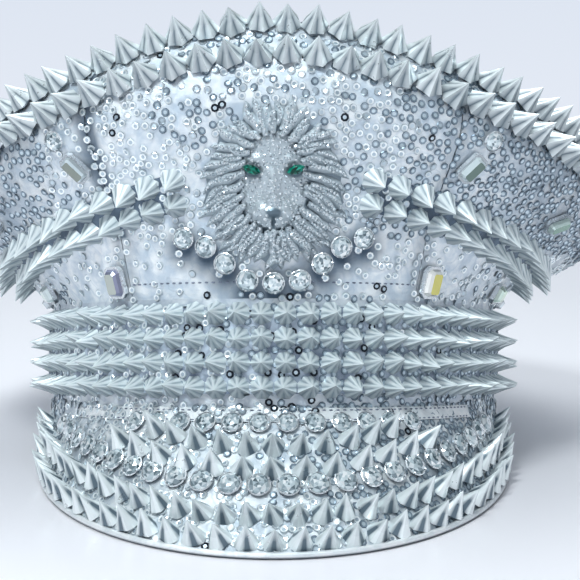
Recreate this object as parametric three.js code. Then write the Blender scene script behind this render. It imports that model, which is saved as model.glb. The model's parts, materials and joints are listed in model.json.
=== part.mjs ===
// Captain hat covered in spike studs, with a lion brooch, stones and crystals.
// It is drawn upright in the hat's own frame: x to the wearer's left, front towards -y, z up,
// with z = 0 at the bottom edge of the head band. At the end it is tipped back on a table.

import * as THREE from 'three';
import { mergeVertices } from 'three/addons/utils/BufferGeometryUtils.js';

const { degToRad, radToDeg, euclideanModulo, clamp } = THREE.MathUtils;

// Driving dimensions, in millimetres, with angles in degrees
const BAND = { halfWidth: 86, halfLength: 104, height: 35, wall: 3 };
const CLOTH = 2;
const SEAM_GAP = 0.5;
const REST = { tipBack: 10.6, flattened: 1 };
const VISOR = {
  wall: 3,
  reach: 0.25,
  flare: 0.03,
  gather: 0.85,
  cornerStart: 64,
  cornerEnd: 90,
  cornerReach: 0.98,
};
const TAPE = { gap: 0.5, thickness: 0.9 };
const SPIKE = { length: 8, flat: 0.22 };
const AROUND = 40;

// Spike tapes: spikes along each row, the distance from row to row, and the rows where the tape's back bends
const RIM_TAPE = { columns: 94, rows: 2, pitch: 8.6, inset: 0.6, middle: 0.9, bends: [0, 0.7, 1.3, 2] };
const BAND_TAPE = { columns: 82, rows: 4, pitch: 7.8, lowest: 2.6, bends: [0, 4] };
const SWAG_TAPE = { columns: 15, rows: 2, pitch: 8.2, bends: [0, 0.5, 1, 1.5, 2] };
const EDGE_TAPE = { columns: 39, rows: 2, pitch: 8.4, inset: 1.4, reach: 88, bends: [0, 1, 2] };
const VISOR_TAPES = [
  { name: 'visor_spikes_middle', columns: 13, pitch: 8, inset: 25.4, reach: 40 },
  { name: 'visor_spikes_upper', columns: 11, pitch: 8, inset: 33.8, reach: 31 },
];

// Crown sections, from the front round to the back. Each turn of the cloth is [out of the band, up from it]
const CROWN_SECTIONS = [
  { angle: 0, stand: [3, 14], turn: [6, 36], bulge: [14, 56], shoulder: [15, 70], rim: [7, 87] },
  { angle: 45, stand: [4, 10], turn: [12, 25], bulge: [26, 42], shoulder: [31, 54], rim: [25, 68] },
  { angle: 90, stand: [7, 8], turn: [24, 14], bulge: [42, 23], shoulder: [48, 31], rim: [45, 43] },
  { angle: 135, stand: [7, 8], turn: [23, 14], bulge: [38, 22], shoulder: [44, 30], rim: [41, 41] },
  { angle: 180, stand: [7, 8], turn: [22, 14], bulge: [34, 22], shoulder: [40, 30], rim: [37, 41] },
];
const CROWN_TURNS = ['stand', 'turn', 'bulge', 'shoulder', 'rim'];
const CROWN_ROWS = [0, 0.1, 0.2, 0.3, 0.42, 0.55, 0.7, 0.85, 1];

// The crown is sewn from four panels, each cut back a little at its seams
const CROWN_SEAM = 0.12;
const CROWN_PANELS = [
  { name: 'crown_front', from: -33, to: 33, columns: 8 },
  { name: 'crown_left', from: 33, to: 147, columns: 11 },
  { name: 'crown_back', from: 147, to: 213, columns: 6 },
  { name: 'crown_right', from: 213, to: 327, columns: 11 },
];

// The crown's lid, from its rim to its middle
const CROWN_TOP = { middleHeight: 84, lidGap: 0.6, belowRim: 0.97, rings: [1, 0.75, 0.4, 0] };

// Swag: middle line of its two rows, as a position from 0 at the band to 1 at the rim
const SWAG_LINE = [
  { angle: 17, position: 0.405 },
  { angle: 40, position: 0.39 },
  { angle: 60, position: 0.355 },
  { angle: 85, position: 0.3 },
];

// Lion brooch, seen from the front: its middle, its outline round the mane, and the swellings of its face
const BROOCH = { middle: 68, edge: 1.6, mane: 3.2, tuftDip: 0.88, tufts: 13, gap: 0.5 };
const BROOCH_RINGS = { front: [1, 0.84, 0.68, 0.52, 0.36, 0.2, 0], back: [1, 0.66, 0.33, 0] };
const MANE_OUTLINE = [
  { angle: -90, radius: 24 },
  { angle: -60, radius: 20.5 },
  { angle: -30, radius: 20.5 },
  { angle: 0, radius: 22.5 },
  { angle: 45, radius: 25 },
  { angle: 90, radius: 27 },
];
const LION_SWELLINGS = [
  { name: 'skull', x: 0, up: 3, halfWidth: 12, halfHeight: 15, high: 3.4 },
  { name: 'brow', x: 5.5, up: 10, halfWidth: 4.5, halfHeight: 3, high: 1.6 },
  { name: 'nose bridge', x: 0, up: 1, halfWidth: 3, halfHeight: 9, high: 2 },
  { name: 'muzzle', x: 3.6, up: -7, halfWidth: 5, halfHeight: 4.5, high: 3 },
  { name: 'chin', x: 0, up: -13.5, halfWidth: 4, halfHeight: 3, high: 2 },
];
const EYE = { x: 6.6, up: 9, width: 6, height: 3.1, depth: 1.6, taper: 0.8, slant: 20, ring: 0.4, lift: 0.7 };

// Stones that hang in a string under the brooch, from the middle outwards
const DROP_STONE = { width: 6.6, depth: 3.4, lift: 0.6 };
const DROP_STRING = [
  { x: 0, up: 39.9 },
  { x: 8.2, up: 40.7 },
  { x: 15.2, up: 46 },
  { x: 21.2, up: 51.3 },
  { x: 28.4, up: 54.2 },
];

// Crystals on the crown, one row for each mirrored pair
const CRYSTAL = { depth: 3.6, cutCorner: 0.45 };
const CRYSTALS = [
  { name: 'crystal_round', angle: 38.5, position: 0.69, width: 7, height: 7, turn: 0, lift: 0.2 },
  { name: 'crystal_upper', angle: 36.5, position: 0.56, width: 10.5, height: 6.5, turn: 55, lift: 0.4 },
  { name: 'crystal_side', angle: 62, position: 0.52, width: 10.5, height: 6.5, turn: 30, lift: 0.8 },
  { name: 'crystal_stand_front', angle: 36, position: 0.125, width: 8, height: 11, turn: 0, lift: 0.6 },
  { name: 'crystal_stand_side', angle: 65, position: 0.125, width: 8, height: 8.5, turn: 0, lift: 1 },
  { name: 'crystal_stand_back', angle: 93, position: 0.12, width: 7, height: 6.5, turn: 0, lift: 1 },
];

const MATERIALS = {
  cloth: { color: 0xc9d4df, roughness: 0.5, metalness: 0.35 },
  spike: { color: 0xdfe6ec, roughness: 0.2, metalness: 0.9 },
  brooch: { color: 0xc2ccd4, roughness: 0.3, metalness: 0.9 },
  crystal: { color: 0xe6eef4, roughness: 0.08, metalness: 0.1 },
  emerald: { color: 0x0f5c48, roughness: 0.1, metalness: 0.1 },
};

// Curves through a table's rows, level where the table begins and ends
function tableCurve(rows, column, size) {
  const keys = rows.map((row) => row.angle);
  const values = rows.flatMap(column);
  const curve = new THREE.CubicInterpolant(keys, values, size);
  curve.settings = { endingStart: THREE.ZeroSlopeEnding, endingEnd: THREE.ZeroSlopeEnding };
  return (angle) => Array.from(curve.evaluate(angle));
}

// A point at an angle round the head, some way out from the band's face
function headPoint(angle, out, up) {
  const turn = degToRad(angle);
  const x = (BAND.halfWidth + out) * Math.sin(turn);
  const y = -(BAND.halfLength + out) * Math.cos(turn);
  return new THREE.Vector3(x, y, up);
}

// Height of the table under the tipped hat, in the hat's own frame
function tableHeight(y) {
  return REST.flattened - (BAND.halfLength - y) * Math.tan(degToRad(REST.tipBack));
}

// Crown surface: a section of the cloth at each angle, and points on it
const crownTurnsAt = tableCurve(CROWN_SECTIONS, (row) => CROWN_TURNS.flatMap((turn) => row[turn]), 10);

function crownSection(angle) {
  const fromFront = Math.abs(euclideanModulo(angle + 180, 360) - 180);
  const turns = crownTurnsAt(fromFront);
  const points = [new THREE.Vector2(0, 0)];
  for (let i = 0; i < turns.length; i += 2) {
    points.push(new THREE.Vector2(turns[i], turns[i + 1]));
  }
  return new THREE.SplineCurve(points);
}

function crownPoint(angle, position) {
  const turn = crownSection(angle).getPoint(position);
  return headPoint(angle, turn.x, BAND.height + SEAM_GAP + turn.y);
}

function crownNormal(angle, position) {
  const step = 0.01;
  const right = crownPoint(angle + 1, position).sub(crownPoint(angle - 1, position));
  const above = crownPoint(angle, Math.min(position + step, 1));
  const below = crownPoint(angle, Math.max(position - step, 0));
  return right.cross(above.sub(below)).normalize();
}

function onCrown(angle, position, lift) {
  return crownPoint(angle, position).addScaledVector(crownNormal(angle, position), lift);
}

// The position reached by walking some way up the crown's section
function walkCrown(angle, position, distance) {
  const section = crownSection(angle);
  const lengths = section.getLengths();
  const start = lengths[Math.round(position * (lengths.length - 1))];
  return section.getUtoTmapping(0, start + distance);
}

// The place on the crown that is seen at x and up from straight ahead
function crownPlaceAhead(x, up) {
  const place = { angle: 0, position: 0.5 };
  let out = 0;
  for (let pass = 0; pass < 8; pass += 1) {
    place.angle = radToDeg(Math.asin(x / (BAND.halfWidth + out)));
    const section = crownSection(place.angle);
    let low = 0;
    let high = 1;
    for (let halving = 0; halving < 30; halving += 1) {
      place.position = (low + high) / 2;
      const reached = BAND.height + SEAM_GAP + section.getPoint(place.position).y;
      if (reached < up) low = place.position;
      else high = place.position;
    }
    out = section.getPoint(place.position).x;
  }
  return place;
}

// Visor surface: straight lines that fan out from the band's bottom edge to an edge on the table
function visorLine(angle) {
  const turn = degToRad(angle);
  const scale = 1 + VISOR.reach * Math.max(Math.cos(turn), 0) ** 2 + VISOR.flare;
  const edge = headPoint(angle, 0, 0).multiplyScalar(scale);
  edge.z = tableHeight(edge.y);
  const top = headPoint(angle * VISOR.gather, 0, -SEAM_GAP);
  return { top, down: edge.clone().sub(top).normalize(), length: edge.distanceTo(top) };
}

function visorLength(angle) {
  const span = VISOR.cornerEnd - VISOR.cornerStart;
  const intoCorner = clamp((Math.abs(angle) - VISOR.cornerStart) / span, 0, 1) * VISOR.cornerReach;
  return visorLine(angle).length * Math.sqrt(1 - intoCorner ** 2);
}

function visorPoint(angle, distance) {
  const line = visorLine(angle);
  return line.top.addScaledVector(line.down, distance);
}

function visorNormal(angle, distance) {
  const right = visorPoint(angle + 1, distance).sub(visorPoint(angle - 1, distance));
  return right.cross(visorLine(angle).down.negate()).normalize();
}

// The place on the visor nearest to a point, by stepping from a first guess
function visorPlace(point, guess) {
  const place = { ...guess };
  const nudge = 0.1;
  for (let pass = 0; pass < 6; pass += 1) {
    const here = visorPoint(place.angle, place.distance);
    const right = visorPoint(place.angle + nudge, place.distance).sub(here).divideScalar(nudge);
    const { down } = visorLine(place.angle);
    const miss = point.clone().sub(here);
    const skew = right.dot(down);
    const spread = right.lengthSq() - skew ** 2;
    place.angle += (miss.dot(right) - miss.dot(down) * skew) / spread;
    place.distance += (miss.dot(down) * right.lengthSq() - miss.dot(right) * skew) / spread;
  }
  return place;
}

// Angles that cut a curve round the head into equal steps
function evenSteps(curve, from, to, count) {
  const samples = 600;
  const angles = Array.from({ length: samples + 1 }, (_, i) => from + ((to - from) * i) / samples);
  const lengths = [0];
  for (let i = 1; i <= samples; i += 1) {
    lengths.push(lengths[i - 1] + curve(angles[i]).distanceTo(curve(angles[i - 1])));
  }
  const steps = [];
  let i = 0;
  for (let k = 0; k <= count; k += 1) {
    const wanted = (lengths[samples] * k) / count;
    while (i < samples - 1 && lengths[i + 1] < wanted) i += 1;
    const part = (wanted - lengths[i]) / (lengths[i + 1] - lengths[i]);
    steps.push(angles[i] + part * (angles[i + 1] - angles[i]));
  }
  return steps;
}

// A closed body gathered face by face, with each face's corners anticlockwise from outside
class Body {
  corners = [];

  face(...points) {
    for (let i = 1; i + 1 < points.length; i += 1) {
      const triangle = [points[0], points[i], points[i + 1]];
      const flat = triangle.some((p, k) => p.distanceTo(triangle[(k + 1) % 3]) < 1e-4);
      if (!flat) this.corners.push(...triangle);
    }
  }

  geometry() {
    const loose = new THREE.BufferGeometry().setFromPoints(this.corners);
    return mergeVertices(loose, 1e-3);
  }
}

// A wall between two grids of points, outer[column][row] and inner[column][row]
function wall(outer, inner, closed) {
  const body = new Body();
  const columns = closed ? outer.length : outer.length - 1;
  const top = outer[0].length - 1;
  for (let i = 0; i < columns; i += 1) {
    const next = (i + 1) % outer.length;
    for (let j = 0; j < top; j += 1) {
      body.face(outer[i][j], outer[next][j], outer[next][j + 1], outer[i][j + 1]);
      body.face(inner[i][j], inner[i][j + 1], inner[next][j + 1], inner[next][j]);
    }
    body.face(inner[i][0], inner[next][0], outer[next][0], outer[i][0]);
    body.face(outer[i][top], outer[next][top], inner[next][top], inner[i][top]);
  }
  if (!closed) {
    for (let j = 0; j < top; j += 1) {
      body.face(inner[0][j], outer[0][j], outer[0][j + 1], inner[0][j + 1]);
      body.face(outer[columns][j], inner[columns][j], inner[columns][j + 1], outer[columns][j + 1]);
    }
  }
  return body.geometry();
}

function grid(columns, rows, point) {
  return columns.map((column) => rows.map((row) => point(column, row)));
}

// Angles all round the head, without the repeat at the end
function around(count) {
  return Array.from({ length: count }, (_, i) => -180 + (360 * i) / count);
}

// A tape that carries rows of six-sided spikes, fused to it.
// place(step, row, lift) gives a point, with two steps to a spike and rows counted from the lower edge
function spikeTape({ columns, rows, bends, closed, place }) {
  const body = new Body();
  const { gap, thickness } = TAPE;
  const lastStep = 2 * columns;
  const at = (step, row, lift) => place(closed ? euclideanModulo(step, lastStep) : step, row, lift);
  const front = (step, row) => at(step, row, gap + thickness);
  const back = (step, row) => at(step, row, gap);
  const low = 0.5 - SPIKE.flat;
  const high = 0.5 + SPIKE.flat;
  for (let column = 0; column < columns; column += 1) {
    const left = 2 * column;
    const middle = left + 1;
    const right = left + 2;
    for (let row = 0; row < rows; row += 1) {
      const tip = at(middle, row + 0.5, gap + thickness + SPIKE.length);
      const base = [
        front(middle, row),
        front(right, row + low),
        front(right, row + high),
        front(middle, row + 1),
        front(left, row + high),
        front(left, row + low),
      ];
      base.forEach((corner, k) => body.face(corner, base[(k + 1) % base.length], tip));
    }
    // Flat cloth between one spike and the next, and the tape's back and long edges
    const after = right + 1;
    if (closed || column + 1 < columns) {
      body.face(front(middle, 0), front(after, 0), front(right, low));
      body.face(front(right, rows - low), front(after, rows), front(middle, rows));
      for (let row = 1; row < rows; row += 1) {
        body.face(front(right, row - low), front(after, row), front(right, row + low), front(middle, row));
      }
      for (let k = 0; k + 1 < bends.length; k += 1) {
        const [lower, upper] = [bends[k], bends[k + 1]];
        body.face(back(middle, lower), back(middle, upper), back(after, upper), back(after, lower));
      }
      body.face(back(middle, 0), back(after, 0), front(after, 0), front(middle, 0));
      body.face(front(middle, rows), front(after, rows), back(after, rows), back(middle, rows));
    }
  }
  if (!closed) {
    tapeEnd(body, rows, bends, front, back, 0, 1, false);
    tapeEnd(body, rows, bends, front, back, lastStep, lastStep - 1, true);
  }
  return body.geometry();
}

// The zigzag end of an open tape, from the last spikes' middles to their outer corners
function tapeEnd(body, rows, bends, front, back, edge, middle, isRight) {
  const face = (points) => body.face(...(isRight ? points : points.reverse()));
  const low = 0.5 - SPIKE.flat;
  const high = 0.5 + SPIKE.flat;
  for (let row = 0; row < rows; row += 1) {
    const path = [[middle, row], [edge, row + low], [edge, row + high], [middle, row + 1]];
    for (let k = 0; k < 3; k += 1) {
      face([back(...path[k]), back(...path[k + 1]), front(...path[k + 1]), front(...path[k])]);
    }
    const bent = bends.filter((bend) => bend > row && bend < row + 1).map((bend) => [middle, bend]);
    face([...path, ...bent.reverse()].map((corner) => back(...corner)).reverse());
  }
}

// Walls of the hat
function headBand() {
  const angles = around(AROUND);
  const edge = (out) => (angle, up) => {
    const point = headPoint(angle, out, up);
    point.z = Math.max(up, tableHeight(point.y));
    return point;
  };
  const rows = [0, BAND.height];
  return wall(grid(angles, rows, edge(0)), grid(angles, rows, edge(-BAND.wall)), true);
}

function panelAngles({ from, to, columns }) {
  return Array.from({ length: columns + 1 }, (_, i) => from + ((to - from) * i) / columns);
}

function crownPanel(panel) {
  const { from, to, columns } = panel;
  const angles = panelAngles({ from: from + CROWN_SEAM, to: to - CROWN_SEAM, columns });
  const outer = grid(angles, CROWN_ROWS, (angle, position) => onCrown(angle, position, 0));
  const inner = grid(angles, CROWN_ROWS, (angle, position) => onCrown(angle, position, -CLOTH));
  return wall(outer, inner, false);
}

function crownTop() {
  const lid = (lift) => (angle, ring) => {
    const rise = crownPoint(angle, 1).sub(crownPoint(angle, CROWN_TOP.belowRim)).normalize();
    const rim = crownPoint(angle, 1).addScaledVector(rise, CROWN_TOP.lidGap + lift);
    const middle = CROWN_TOP.middleHeight + lift;
    const height = THREE.MathUtils.lerp(middle, rim.z, ring ** 2);
    return new THREE.Vector3(rim.x * ring, rim.y * ring, height);
  };
  const angles = CROWN_PANELS.flatMap((panel) => panelAngles(panel).slice(1));
  return wall(grid(angles, CROWN_TOP.rings, lid(CLOTH)), grid(angles, CROWN_TOP.rings, lid(0)), true);
}

function visor() {
  const angles = evenSteps((angle) => headPoint(angle, 0, 0), -VISOR.cornerEnd, VISOR.cornerEnd, AROUND);
  const rows = [1, 0];
  const outside = (angle, part) => visorPoint(angle, part * visorLength(angle));
  const inside = (angle, part) => {
    const distance = part * visorLength(angle);
    const point = outside(angle, part).addScaledVector(visorNormal(angle, distance), -VISOR.wall);
    const { down } = visorLine(angle);
    const slope = Math.tan(degToRad(REST.tipBack));
    const under = tableHeight(point.y) - point.z;
    if (under > 0) point.addScaledVector(down, under / (down.z - slope * down.y));
    point.z = Math.min(point.z, -SEAM_GAP);
    return point;
  };
  return wall(grid(angles, rows, outside), grid(angles, rows, inside), false);
}

// Spike tapes
function rimSpikes() {
  const { columns, rows, pitch, inset, middle, bends } = RIM_TAPE;
  const steps = evenSteps((angle) => crownPoint(angle, middle), -180, 180, 2 * columns);
  const place = (step, row, lift) => {
    const angle = steps[step];
    return onCrown(angle, walkCrown(angle, 1, -inset - (rows - row) * pitch), lift);
  };
  return spikeTape({ columns, rows, bends, closed: true, place });
}

function bandSpikes() {
  const { columns, rows, pitch, lowest, bends } = BAND_TAPE;
  const steps = evenSteps((angle) => headPoint(angle, 0, 0), -180, 180, 2 * columns);
  const place = (step, row, lift) => headPoint(steps[step], lift, lowest + row * pitch);
  return spikeTape({ columns, rows, bends, closed: true, place });
}

function swagSpikes(side) {
  const { columns, rows, pitch, bends } = SWAG_TAPE;
  const line = tableCurve(SWAG_LINE, (row) => [row.position], 1);
  const middle = (angle) => line(Math.abs(angle))[0];
  const ends = [SWAG_LINE.at(0).angle * side, SWAG_LINE.at(-1).angle * side];
  const [from, to] = [Math.min(...ends), Math.max(...ends)];
  const steps = evenSteps((angle) => crownPoint(angle, middle(angle)), from, to, 2 * columns);
  const place = (step, row, lift) => {
    const angle = steps[step];
    return onCrown(angle, walkCrown(angle, middle(angle), (row - rows / 2) * pitch), lift);
  };
  return spikeTape({ columns, rows, bends, closed: false, place });
}

function visorEdgeSpikes() {
  const { columns, rows, pitch, inset, reach, bends } = EDGE_TAPE;
  const nudge = 0.2;
  const edge = (angle) => visorPoint(angle, visorLength(angle));
  const steps = evenSteps(edge, -reach, reach, 2 * columns);
  const place = (step, row, lift) => {
    const angle = steps[step];
    const along = edge(angle + nudge).sub(edge(angle - nudge)).normalize();
    const length = visorLength(angle);
    const inward = visorNormal(angle, length).cross(along).normalize();
    const wanted = edge(angle).addScaledVector(inward, inset + row * pitch);
    const spot = visorPlace(wanted, { angle, distance: length });
    const out = visorNormal(spot.angle, spot.distance);
    return visorPoint(spot.angle, spot.distance).addScaledVector(out, lift);
  };
  return spikeTape({ columns, rows, bends, closed: false, place });
}

function visorRowSpikes({ columns, pitch, inset, reach }) {
  const height = (angle, row) => visorLine(angle).length - inset - row * pitch;
  const steps = evenSteps((angle) => visorPoint(angle, height(angle, 0.5)), -reach, reach, 2 * columns);
  const place = (step, row, lift) => {
    const angle = steps[step];
    const distance = height(angle, row);
    return visorPoint(angle, distance).addScaledVector(visorNormal(angle, distance), lift);
  };
  return spikeTape({ columns, rows: 1, bends: [0, 1], closed: false, place });
}

// Lion brooch: a relief on the crown, highest at the muzzle
function lionRelief(x, up, ring) {
  let high = THREE.MathUtils.lerp(BROOCH.mane, BROOCH.edge, ring ** 2);
  for (const swelling of LION_SWELLINGS) {
    const across = (Math.abs(x) - swelling.x) / swelling.halfWidth;
    const along = (up - swelling.up) / swelling.halfHeight;
    high += swelling.high * Math.exp(-(across ** 2) - along ** 2);
  }
  return high;
}

function onCrownAhead(x, up, lift) {
  const place = crownPlaceAhead(x, up);
  return onCrown(place.angle, place.position, lift);
}

function brooch() {
  const outline = tableCurve(MANE_OUTLINE, (row) => [row.radius], 1);
  const tufts = Array.from({ length: 2 * BROOCH.tufts }, (_, i) => i);
  const spot = (tuft, ring) => {
    const turn = degToRad(-90 + (360 * tuft) / tufts.length);
    const fromSide = radToDeg(Math.asin(Math.sin(turn)));
    const dip = tuft % 2 === 0 ? 1 : THREE.MathUtils.lerp(1, BROOCH.tuftDip, ring);
    const radius = outline(fromSide)[0] * ring * dip;
    return { x: radius * Math.cos(turn), up: radius * Math.sin(turn) };
  };
  const front = (tuft, ring) => {
    const { x, up } = spot(tuft, ring);
    return onCrownAhead(x, BROOCH.middle + up, BROOCH.gap + lionRelief(x, up, ring));
  };
  const back = (tuft, ring) => {
    const { x, up } = spot(tuft, ring);
    return onCrownAhead(x, BROOCH.middle + up, BROOCH.gap);
  };
  const body = new Body();
  tufts.forEach((tuft) => {
    const next = (tuft + 1) % tufts.length;
    BROOCH_RINGS.front.slice(1).forEach((ring, k) => {
      const outer = BROOCH_RINGS.front[k];
      body.face(front(tuft, outer), front(next, outer), front(next, ring), front(tuft, ring));
    });
    BROOCH_RINGS.back.slice(1).forEach((ring, k) => {
      const outer = BROOCH_RINGS.back[k];
      body.face(back(tuft, outer), back(tuft, ring), back(next, ring), back(next, outer));
    });
    body.face(back(tuft, 1), back(next, 1), front(next, 1), front(tuft, 1));
  });
  return body.geometry();
}

// Cut stones: an outline of eight corners with a girdle, sloping facets and a table
const STONE_LAYERS = [
  { scale: 0.8, height: 0 },
  { scale: 1, height: 0.4 },
  { scale: 0.62, height: 1 },
];

function cutStone(outline, depth) {
  const body = new Body();
  const layers = STONE_LAYERS.map(({ scale, height }) =>
    outline.map(([x, y]) => new THREE.Vector3(x * scale, y * scale, height * depth)));
  for (let k = 0; k + 1 < layers.length; k += 1) {
    outline.forEach((_, i) => {
      const next = (i + 1) % outline.length;
      body.face(layers[k][i], layers[k][next], layers[k + 1][next], layers[k + 1][i]);
    });
  }
  body.face(...layers.at(-1));
  body.face(...layers[0].slice().reverse());
  return body.geometry();
}

// A rectangle with its corners cut off, or an even octagon where both sides are the same
function cutCorners(width, height) {
  const [x, y] = [width / 2, height / 2];
  const cut = width === height ? x * (2 - Math.SQRT2) : Math.min(x, y) * CRYSTAL.cutCorner;
  return [
    [x, -y + cut], [x, y - cut], [x - cut, y], [-x + cut, y],
    [-x, y - cut], [-x, -y + cut], [-x + cut, -y], [x - cut, -y],
  ];
}

function marquise(width, height) {
  const corners = [];
  for (let i = 0; i < 8; i += 1) {
    const turn = degToRad(45 * i);
    const narrowing = i % 4 === 0 ? 1 : EYE.taper;
    corners.push([(width / 2) * Math.cos(turn) * narrowing, (height / 2) * Math.sin(turn)]);
  }
  return corners;
}

// Stands a stone on a surface: its own z points out, and it is turned about that by some degrees
function standOn(mesh, point, out, turn) {
  const right = new THREE.Vector3(0, 0, 1).cross(out).normalize();
  const up = out.clone().cross(right);
  const stand = new THREE.Matrix4().makeBasis(right, up, out).setPosition(point);
  mesh.applyMatrix4(stand.multiply(new THREE.Matrix4().makeRotationZ(degToRad(turn))));
}

// The hat, one named mesh for each piece
const hat = new THREE.Group();

function piece(name, geometry, material) {
  const mesh = new THREE.Mesh(geometry, new THREE.MeshStandardMaterial(MATERIALS[material]));
  mesh.name = name;
  hat.add(mesh);
  return mesh;
}

piece('head_band', headBand(), 'cloth');
CROWN_PANELS.forEach((panel) => piece(panel.name, crownPanel(panel), 'cloth'));
piece('crown_top', crownTop(), 'cloth');
piece('visor', visor(), 'cloth');
piece('rim_spikes', rimSpikes(), 'spike');
piece('band_spikes', bandSpikes(), 'spike');
piece('swag_spikes_left', swagSpikes(1), 'spike');
piece('swag_spikes_right', swagSpikes(-1), 'spike');
piece('visor_spikes_edge', visorEdgeSpikes(), 'spike');
VISOR_TAPES.forEach((tape) => piece(tape.name, visorRowSpikes(tape), 'spike'));
piece('brooch', brooch(), 'brooch');

// Each side of the hat: +1 is the wearer's left, -1 the right
const SIDES = [{ name: 'left', side: 1 }, { name: 'right', side: -1 }];

for (const { name, side } of SIDES) {
  const eye = piece(`brooch_eye_${name}`, cutStone(marquise(EYE.width, EYE.height), EYE.depth), 'emerald');
  const place = crownPlaceAhead(EYE.x * side, BROOCH.middle + EYE.up);
  const high = BROOCH.gap + lionRelief(EYE.x, EYE.up, EYE.ring) + EYE.lift;
  const out = crownNormal(place.angle, place.position);
  standOn(eye, onCrown(place.angle, place.position, high), out, EYE.slant * side);
}

DROP_STRING.forEach(({ x, up }, k) => {
  const sides = x === 0 ? [{ name: 'middle', side: 1 }] : SIDES;
  for (const { name, side } of sides) {
    const number = x === 0 ? '' : `_${k}`;
    const outline = cutCorners(DROP_STONE.width, DROP_STONE.width);
    const stone = piece(`drop_stone_${name}${number}`, cutStone(outline, DROP_STONE.depth), 'crystal');
    const place = crownPlaceAhead(x * side, up);
    const out = crownNormal(place.angle, place.position);
    standOn(stone, onCrown(place.angle, place.position, DROP_STONE.lift), out, 0);
  }
});

for (const { name: pair, angle, position, width, height, turn, lift } of CRYSTALS) {
  for (const { name, side } of SIDES) {
    const stone = piece(`${pair}_${name}`, cutStone(cutCorners(width, height), CRYSTAL.depth), 'crystal');
    const out = crownNormal(angle * side, position);
    standOn(stone, onCrown(angle * side, position, lift), out, turn * side);
  }
}

// Tipped back on the table, with the origin under the middle of its box
hat.rotation.x = -degToRad(REST.tipBack);
const part = new THREE.Group();
part.add(hat);
const box = new THREE.Box3().setFromObject(part, true);
const middle = box.getCenter(new THREE.Vector3());
hat.position.set(-middle.x, -middle.y, -box.min.z);
part.updateMatrixWorld(true);

export default part;
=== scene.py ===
import json
import math

import bmesh
import bpy
import numpy as np
from mathutils import Matrix, Vector, kdtree, noise
from mathutils.bvhtree import BVHTree

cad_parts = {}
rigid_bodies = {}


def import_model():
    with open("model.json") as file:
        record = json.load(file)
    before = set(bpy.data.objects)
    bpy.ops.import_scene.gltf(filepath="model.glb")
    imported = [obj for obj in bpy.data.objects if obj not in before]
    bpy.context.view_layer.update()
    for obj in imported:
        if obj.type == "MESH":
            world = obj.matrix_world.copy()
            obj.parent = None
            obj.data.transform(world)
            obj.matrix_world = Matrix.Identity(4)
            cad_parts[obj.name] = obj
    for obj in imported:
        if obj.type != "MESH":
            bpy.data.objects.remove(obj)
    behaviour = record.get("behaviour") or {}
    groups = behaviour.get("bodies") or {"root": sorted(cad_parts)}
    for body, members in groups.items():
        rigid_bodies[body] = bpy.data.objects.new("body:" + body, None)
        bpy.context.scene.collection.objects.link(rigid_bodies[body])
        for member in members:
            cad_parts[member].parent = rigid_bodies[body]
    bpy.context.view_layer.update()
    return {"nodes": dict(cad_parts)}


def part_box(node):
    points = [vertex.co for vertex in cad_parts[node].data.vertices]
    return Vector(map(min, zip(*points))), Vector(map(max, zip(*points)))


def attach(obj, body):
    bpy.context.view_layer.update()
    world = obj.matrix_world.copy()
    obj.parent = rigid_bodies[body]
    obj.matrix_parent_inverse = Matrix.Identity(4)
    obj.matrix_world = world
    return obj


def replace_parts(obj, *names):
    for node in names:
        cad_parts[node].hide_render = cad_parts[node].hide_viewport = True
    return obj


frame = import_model()

# Head band: a stiffened oval of woven silver cloth that the other pieces are sewn to.
# It is one wall, cut flat where it rests at the back, and the hat's own axes are read from it:
# x to the wearer's left, y to the back and z up from the middle of the band's top edge.
MM = 0.001
MERGE_DISTANCE = 0.01 * MM
SEWN_EDGE_ANGLE = math.radians(38)
QUAD_SKEW = math.radians(60)
ROUNDING_LEVELS = 2
THREAD_RELIEF = 0.1 * MM
# Painted shade on cloth: the colour its "seam" attribute mixes in, and the colour of what faces down
PAINTED_SHADE_COLOUR = (0.05, 0.09, 0.14)
PAINTED_UNDERSIDE_COLOUR = (0.05, 0.07, 0.09)

band_top = [face for face in frame["nodes"]["head_band"].data.polygons if face.normal.z > 0.9]
hat_up = sum((face.normal for face in band_top), Vector()).normalized()
hat_left = Vector((1, 0, 0))
hat_back = hat_up.cross(hat_left)
top_corners = np.array(
    [frame["nodes"]["head_band"].data.vertices[i].co for face in band_top for i in face.vertices]
)
hat_middle = Vector((top_corners.min(0) + top_corners.max(0)) / 2)
hat_axes = Matrix((hat_left, hat_back, hat_up)).transposed().to_4x4()
hat_frame = Matrix.Translation(hat_middle) @ hat_axes
to_hat = hat_frame.inverted()


def placed(name, data):
    """A new object in the scene that shows the data."""
    item = bpy.data.objects.new(name, data)
    bpy.context.scene.collection.objects.link(item)
    return item


def add_piece(name, mesh, material):
    """A finished piece of the hat, riding on its one body."""
    mesh.materials.clear()
    mesh.materials.append(material)
    piece = placed(name, mesh)
    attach(piece, "root")
    return piece


def merged_node(node):
    """A copy of a CAD node's mesh with its loose triangles joined up."""
    shape = bmesh.new()
    shape.from_mesh(frame["nodes"][node].data)
    bmesh.ops.remove_doubles(shape, verts=shape.verts, dist=MERGE_DISTANCE)
    return shape


def mesh_from(shape, name):
    """The shape as a mesh. The shape is used up."""
    mesh = bpy.data.meshes.new(name)
    shape.to_mesh(mesh)
    shape.free()
    return mesh


def finished_mesh(holder):
    """What an object's curve or modifiers come to, as a mesh. The object is used up."""
    name, data = holder.name, holder.data
    finished = holder.evaluated_get(bpy.context.evaluated_depsgraph_get())
    mesh = bpy.data.meshes.new_from_object(finished)
    bpy.data.objects.remove(holder)
    bpy.data.batch_remove([data])
    mesh.name = name
    return mesh


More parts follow.
